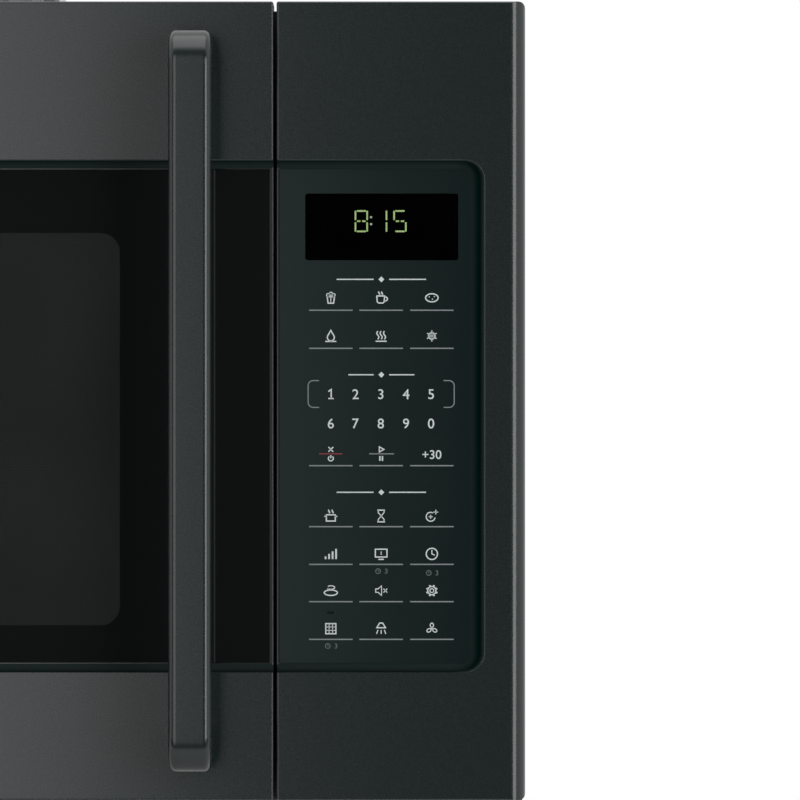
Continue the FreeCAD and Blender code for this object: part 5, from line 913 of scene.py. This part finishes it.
def lit_digit(plates, left, digit):
    """A seven-segment digit, whose middle segment is in two halves."""
    right, half = left + DIGIT_WIDTH, SEGMENT / 2
    centre_x, centre = (left + right) / 2, (DIGIT_TOP + DIGIT_FOOT) / 2
    level = {"a": DIGIT_TOP - half, "d": DIGIT_FOOT + half}
    upright = {"f": (left + half, 1), "b": (right - half, 1), "e": (left + half, -1), "c": (right - half, -1)}
    for name in SEGMENTS[digit]:
        if name == "g":
            for shift in (-SPLIT_SHIFT, SPLIT_SHIFT):
                plates.bar(centre_x + shift, centre, SPLIT_WIDTH, SEGMENT)
        elif name in level:
            plates.bar(centre_x, level[name], DIGIT_WIDTH - 2 * SEGMENT - LEVEL_GAP, SEGMENT)
        else:
            x, up = upright[name]
            end = DIGIT_TOP if up > 0 else DIGIT_FOOT
            plates.bar(x, (end + centre) / 2 + up * UPRIGHT_SHIFT, SEGMENT, abs(end - centre) - UPRIGHT_GAP)


lit_green = lit("lit_green", (0.20, 0.285, 0.115), 0.75).material
lit_white = lit("lit_white", (0.21, 0.24, 0.19), 0.8).material
clock_digits = Plates("lit_digits", lit_green, LENS_FACE, "chassis")
for left, digit in DIGITS:
    lit_digit(clock_digits, left, digit)
clock_digits.finish()
colon = Plates("lit_colon", lit_white, LENS_FACE, "chassis")
for z in COLON_DOTS:
    colon.bar(COLON_X, z, COLON_SIZE, COLON_SIZE)
colon.finish()


# ---------------------------------------------------------------- expanded mesh of the grease filters
MESH_PITCH = (9.0, 4.4)
STRAND_WIDTH, STRAND_THICKNESS = 0.8, 0.12
STRAND_EDGES = ((-1, -0.42), (1, -0.10))        # side of the strand and its place under the pad: it is tilted
FILTER_RIM = 7.0
PAD_LIFT = 2.5
RING_RADIUS, RING_BAND = 11.0, 2.0              # outer radius and width of the pull ring
RING_CLEARANCE = 2.6                            # no strand's middle lies nearer to the band's middle


def expanded_mesh(node, body):
    """Diamonds of slit and stretched sheet under the filter's pad, each strand tilted as real ones are."""
    low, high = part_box(node)
    x0, x1 = low.x / MM + FILTER_RIM, high.x / MM - FILTER_RIM
    y0, y1 = low.y / MM + FILTER_RIM, high.y / MM - FILTER_RIM
    pad = low.z / MM + PAD_LIFT
    ring_place = ((x0 + x1) / 2, y0 + RING_RADIUS)
    ring_middle = RING_RADIUS - RING_BAND / 2
    mesh = bmesh.new()
    columns = int((x1 - x0) / MESH_PITCH[0])
    rows = int((y1 - y0) / MESH_PITCH[1])
    step_x, step_y = (x1 - x0) / columns, (y1 - y0) / rows
    for row, column, half in product(range(rows), range(columns), (0, 1)):
        start = (x0 + step_x * (column + half / 2), y0 + step_y * (row + half))
        end = (start[0] + step_x / 2, y0 + step_y * (row + 1 - half))
        middle = ((start[0] + end[0]) / 2, (start[1] + end[1]) / 2)
        if abs(math.dist(middle, ring_place) - ring_middle) < RING_CLEARANCE:
            continue
        reach = STRAND_WIDTH / 2 / math.dist(start, end)
        across = ((start[1] - end[1]) * reach, (end[0] - start[0]) * reach)
        corners = []
        for x, y in (start, end):
            for side, lift in STRAND_EDGES:
                place = ((x + side * across[0]) * MM, (y + side * across[1]) * MM)
                for depth in (lift, lift + STRAND_THICKNESS):
                    corners.append(mesh.verts.new((*place, (pad + depth) * MM)))
        a, b, c, d, e, f, g, h = corners
        for loop in ((a, c, g, e), (b, f, h, d), (a, e, f, b), (c, d, h, g), (a, b, d, c), (e, g, h, f)):
            mesh.faces.new(loop)
    bmesh.ops.recalc_face_normals(mesh, faces=mesh.faces)
    piece = made_object(node + "_strands", mesh, materials["aluminium"])
    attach(piece, body)


expanded_mesh("grease_filter_left", "filter_left")
expanded_mesh("grease_filter_right", "filter_right")


# ---------------------------------------------------------------- latch spring
SPRING_WIRE = 0.4              # radius
SPRING_TURNS = 8
TURN_STEPS, WIRE_SIDES = 24, 12


def shortening_coil(node, body):
    """The latch spring's coil as a tube, which takes the place of the hidden latch spring node on the door."""
    low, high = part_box(node)
    middle = (low + high) / 2
    wire = SPRING_WIRE * MM
    radius, rise = (high.x - low.x) / 2 - wire, high.z - low.z - 2 * wire
    slope = rise / SPRING_TURNS / (2 * math.pi * radius)
    steps = SPRING_TURNS * TURN_STEPS
    angles = [2 * math.pi * k / WIRE_SIDES for k in range(WIRE_SIDES)]
    mesh = bmesh.new()
    rings = []
    for n in range(steps + 1):
        turn = 2 * math.pi * n / TURN_STEPS
        out = Vector((math.cos(turn), math.sin(turn), 0))
        up = out.cross(Vector((-out.y, out.x, slope)).normalized())
        centre = Vector((middle.x, middle.y, low.z + wire + rise * n / steps)) + out * radius
        rings.append([mesh.verts.new(centre + (out * math.cos(a) + up * math.sin(a)) * wire) for a in angles])
    for ring, after in zip(rings, rings[1:]):
        for k in range(WIRE_SIDES):
            mesh.faces.new((ring[k - 1], ring[k], after[k], after[k - 1]))
    mesh.faces.new(rings[0][::-1])
    mesh.faces.new(rings[-1])
    bmesh.ops.recalc_face_normals(mesh, faces=mesh.faces)
    for face in mesh.faces:
        face.smooth = len(face.verts) == 4
    piece = made_object(node + "_coil", mesh, materials["spring_steel"])
    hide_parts(node)
    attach(piece, body)
    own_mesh(piece)


shortening_coil("latch_spring", "door")


# ---------------------------------------------------------------- studio
def plane(name, centre, across, up, material):
    """A flat stage panel, cut into a few quads, from its centre and two half-sides."""
    mesh = bmesh.new()
    centre, across, up = Vector(centre), Vector(across), Vector(up)
    rows = [[mesh.verts.new(centre + across * u + up * v) for u in (-1, 0, 1)] for v in (-1, 0, 1)]
    for lower, upper in zip(rows, rows[1:]):
        for n in range(2):
            mesh.faces.new((lower[n], lower[n + 1], upper[n + 1], upper[n]))
    made_plane = made_object(name, mesh, material)
    return made_plane


FADE = (0.4, 1.2)              # distance from the middle at which the floor begins and ends to fade to white


def floor_material():
    """Pale matt floor that keeps shadows near the object, runs out into white, and is clear from below."""
    look = Look("studio_floor", roughness=0.9, specular=0.0)
    look.colour(look.ramp(look.noise(400.0), (0.3, grey(0.77)), (0.7, grey(0.79))))
    ray = look.node("ShaderNodeLightPath").outputs
    seen = look.math("MAXIMUM", look.math("MAXIMUM", ray["Is Camera Ray"], ray["Is Glossy Ray"]),
                     ray["Is Transmission Ray"])
    away = look.node("ShaderNodeVectorMath", {0: look.place}, operation="LENGTH").outputs["Value"]
    fade = look.node("ShaderNodeMapRange", {"Value": away, "From Min": FADE[0], "From Max": FADE[1]},
                     interpolation_type="SMOOTHSTEP").outputs["Result"]
    white = look.node("ShaderNodeEmission", {"Color": (1, 1, 1, 1), "Strength": 1.0}).outputs[0]
    lit_floor = look.shader.outputs[0]
    shown = look.node("ShaderNodeMixShader", {0: look.math("MULTIPLY", seen, fade), 1: lit_floor, 2: white})
    clear = look.node("ShaderNodeBsdfTransparent").outputs[0]
    below = look.node("ShaderNodeNewGeometry").outputs["Backfacing"]
    both = look.node("ShaderNodeMixShader", {0: below, 1: shown.outputs[0], 2: clear})
    look.links.new(both.outputs[0], look.nodes["Material Output"].inputs["Surface"])
    return look.material


FLOOR_Z, FLOOR_REACH = -0.42, 5.0
CARD_X, CARD_REACH = 0.3, 3.6
CARD_LIFT = 0.01               # of the floor card above the floor
plane("studio_floor", (0, 0, FLOOR_Z), (FLOOR_REACH, 0, 0), (0, FLOOR_REACH, 0), floor_material())

# Black cards in front of the oven and on the floor there, which only reflections see, keep the front dark.
card_look = Look("studio_card", roughness=1.0, specular=0.0)
card_look.colour(card_look.ramp(card_look.noise(300.0), (0.3, grey(0.001)), (0.7, grey(0.002))))
card_across = (CARD_REACH, 0, 0)
floor_card_place = (CARD_X, -1.85, FLOOR_Z + CARD_LIFT)
cards = (
    plane("studio_card", (CARD_X, -2.9, 1.59), card_across, (0, 0, 2.0), card_look.material),
    plane("studio_floor_card", floor_card_place, card_across, (0, 1.05, 0), card_look.material),
)
for card in cards:
    card.visible_camera = False
    card.visible_diffuse = False
    card.visible_shadow = False
    card.visible_transmission = False

scene = bpy.context.scene
scene.view_settings.view_transform = "Standard"

# The world is white where it is seen, mirrored or seen through glass, and grey where it lights the object.
SKY_GREY = 0.66
world = bpy.data.worlds.new("studio")
scene.world = world
world.use_nodes = True
sky_nodes, sky_links = world.node_tree.nodes, world.node_tree.links
white_sky, grey_sky = sky_nodes["Background"], sky_nodes.new("ShaderNodeBackground")
white_sky.inputs["Color"].default_value = (*grey(1), 1)
grey_sky.inputs["Color"].default_value = (*grey(SKY_GREY), 1)
ray = sky_nodes.new("ShaderNodeLightPath").outputs
shown = ray["Is Camera Ray"]
for name in ("Is Glossy Ray", "Is Transmission Ray"):
    either = sky_nodes.new("ShaderNodeMath")
    either.operation = "MAXIMUM"
    sky_links.new(shown, either.inputs[0])
    sky_links.new(ray[name], either.inputs[1])
    shown = either.outputs[0]
sky = sky_nodes.new("ShaderNodeMixShader")
for n, socket in enumerate((shown, grey_sky.outputs[0], white_sky.outputs[0])):
    sky_links.new(socket, sky.inputs[n])
sky_links.new(sky.outputs[0], sky_nodes["World Output"].inputs["Surface"])


def soft_box(name, place, target, width, height, radiance):
    """An even rectangular lamp of the given radiance, which the camera doesn't see."""
    light = bpy.data.lights.new(name, "AREA")
    light.shape = "RECTANGLE"
    light.size, light.size_y = width, height
    light.energy = radiance * math.pi * width * height
    lamp_object = bpy.data.objects.new(name, light)
    bpy.context.collection.objects.link(lamp_object)
    lamp_object.location = place
    aim = Vector(target) - Vector(place)
    lamp_object.rotation_euler = aim.to_track_quat("-Z", "Y").to_euler()
    lamp_object.visible_camera = False
    return lamp_object


PANEL_EDGE = (0.3795, -0.1755, 0.2075)          # middle of the panel's outer edge, in the plane of the front


def beside_panel(angle, distance):
    """A place at an angle to the right of the line towards the camera, seen from the panel's outer edge."""
    a = math.radians(angle)
    return (PANEL_EDGE[0] + distance * math.sin(a), PANEL_EDGE[1] - distance * math.cos(a), PANEL_EDGE[2])


# The key gives the bright line on the rolled right edge.
soft_box("key_right", beside_panel(36.0, 2.5), PANEL_EDGE, width=1.0, height=2.0, radiance=5.3)

# The sheen lamp brightens the front towards the left. Only reflections show it, and only on these nodes.
SHEEN_X, SHEEN_Z = -0.27, 0.25
sheen = soft_box("sheen_left", (SHEEN_X, -1.40, SHEEN_Z), (SHEEN_X, -0.175, SHEEN_Z),
                 width=0.8, height=1.6, radiance=2.0)
sheen.visible_diffuse = False
receivers = bpy.data.collections.new("sheen_receivers")
for node in ("control_housing", "touch_overlay", "door_frame", "door_handle"):
    receivers.objects.link(NODES[node])
sheen.light_linking.receiver_collection = receivers
soft_box("top", (0, -0.4, 2.6), (0, 0, 0.2), width=2.2, height=2.2, radiance=1.6)

# The camera stands straight in front, so that the panel lands where the photo has it.
CAMERA_DISTANCE = 4.0
FRAME_WIDTH = 0.4114           # width of what the camera sees, in the plane of the front
FRAME_X, FRAME_Z = 0.3150, 0.2080
SENSOR = 36.0
camera_data = bpy.data.cameras.new("camera")
camera_data.sensor_width = SENSOR
camera_data.lens = SENSOR * CAMERA_DISTANCE / FRAME_WIDTH
camera_data.clip_start, camera_data.clip_end = 0.1, 60.0
camera = bpy.data.objects.new("camera", camera_data)
bpy.context.collection.objects.link(camera)
camera.location = (FRAME_X, PANEL_EDGE[1] - CAMERA_DISTANCE, FRAME_Z)
camera.rotation_euler = (math.pi / 2, 0, 0)
scene.camera = camera
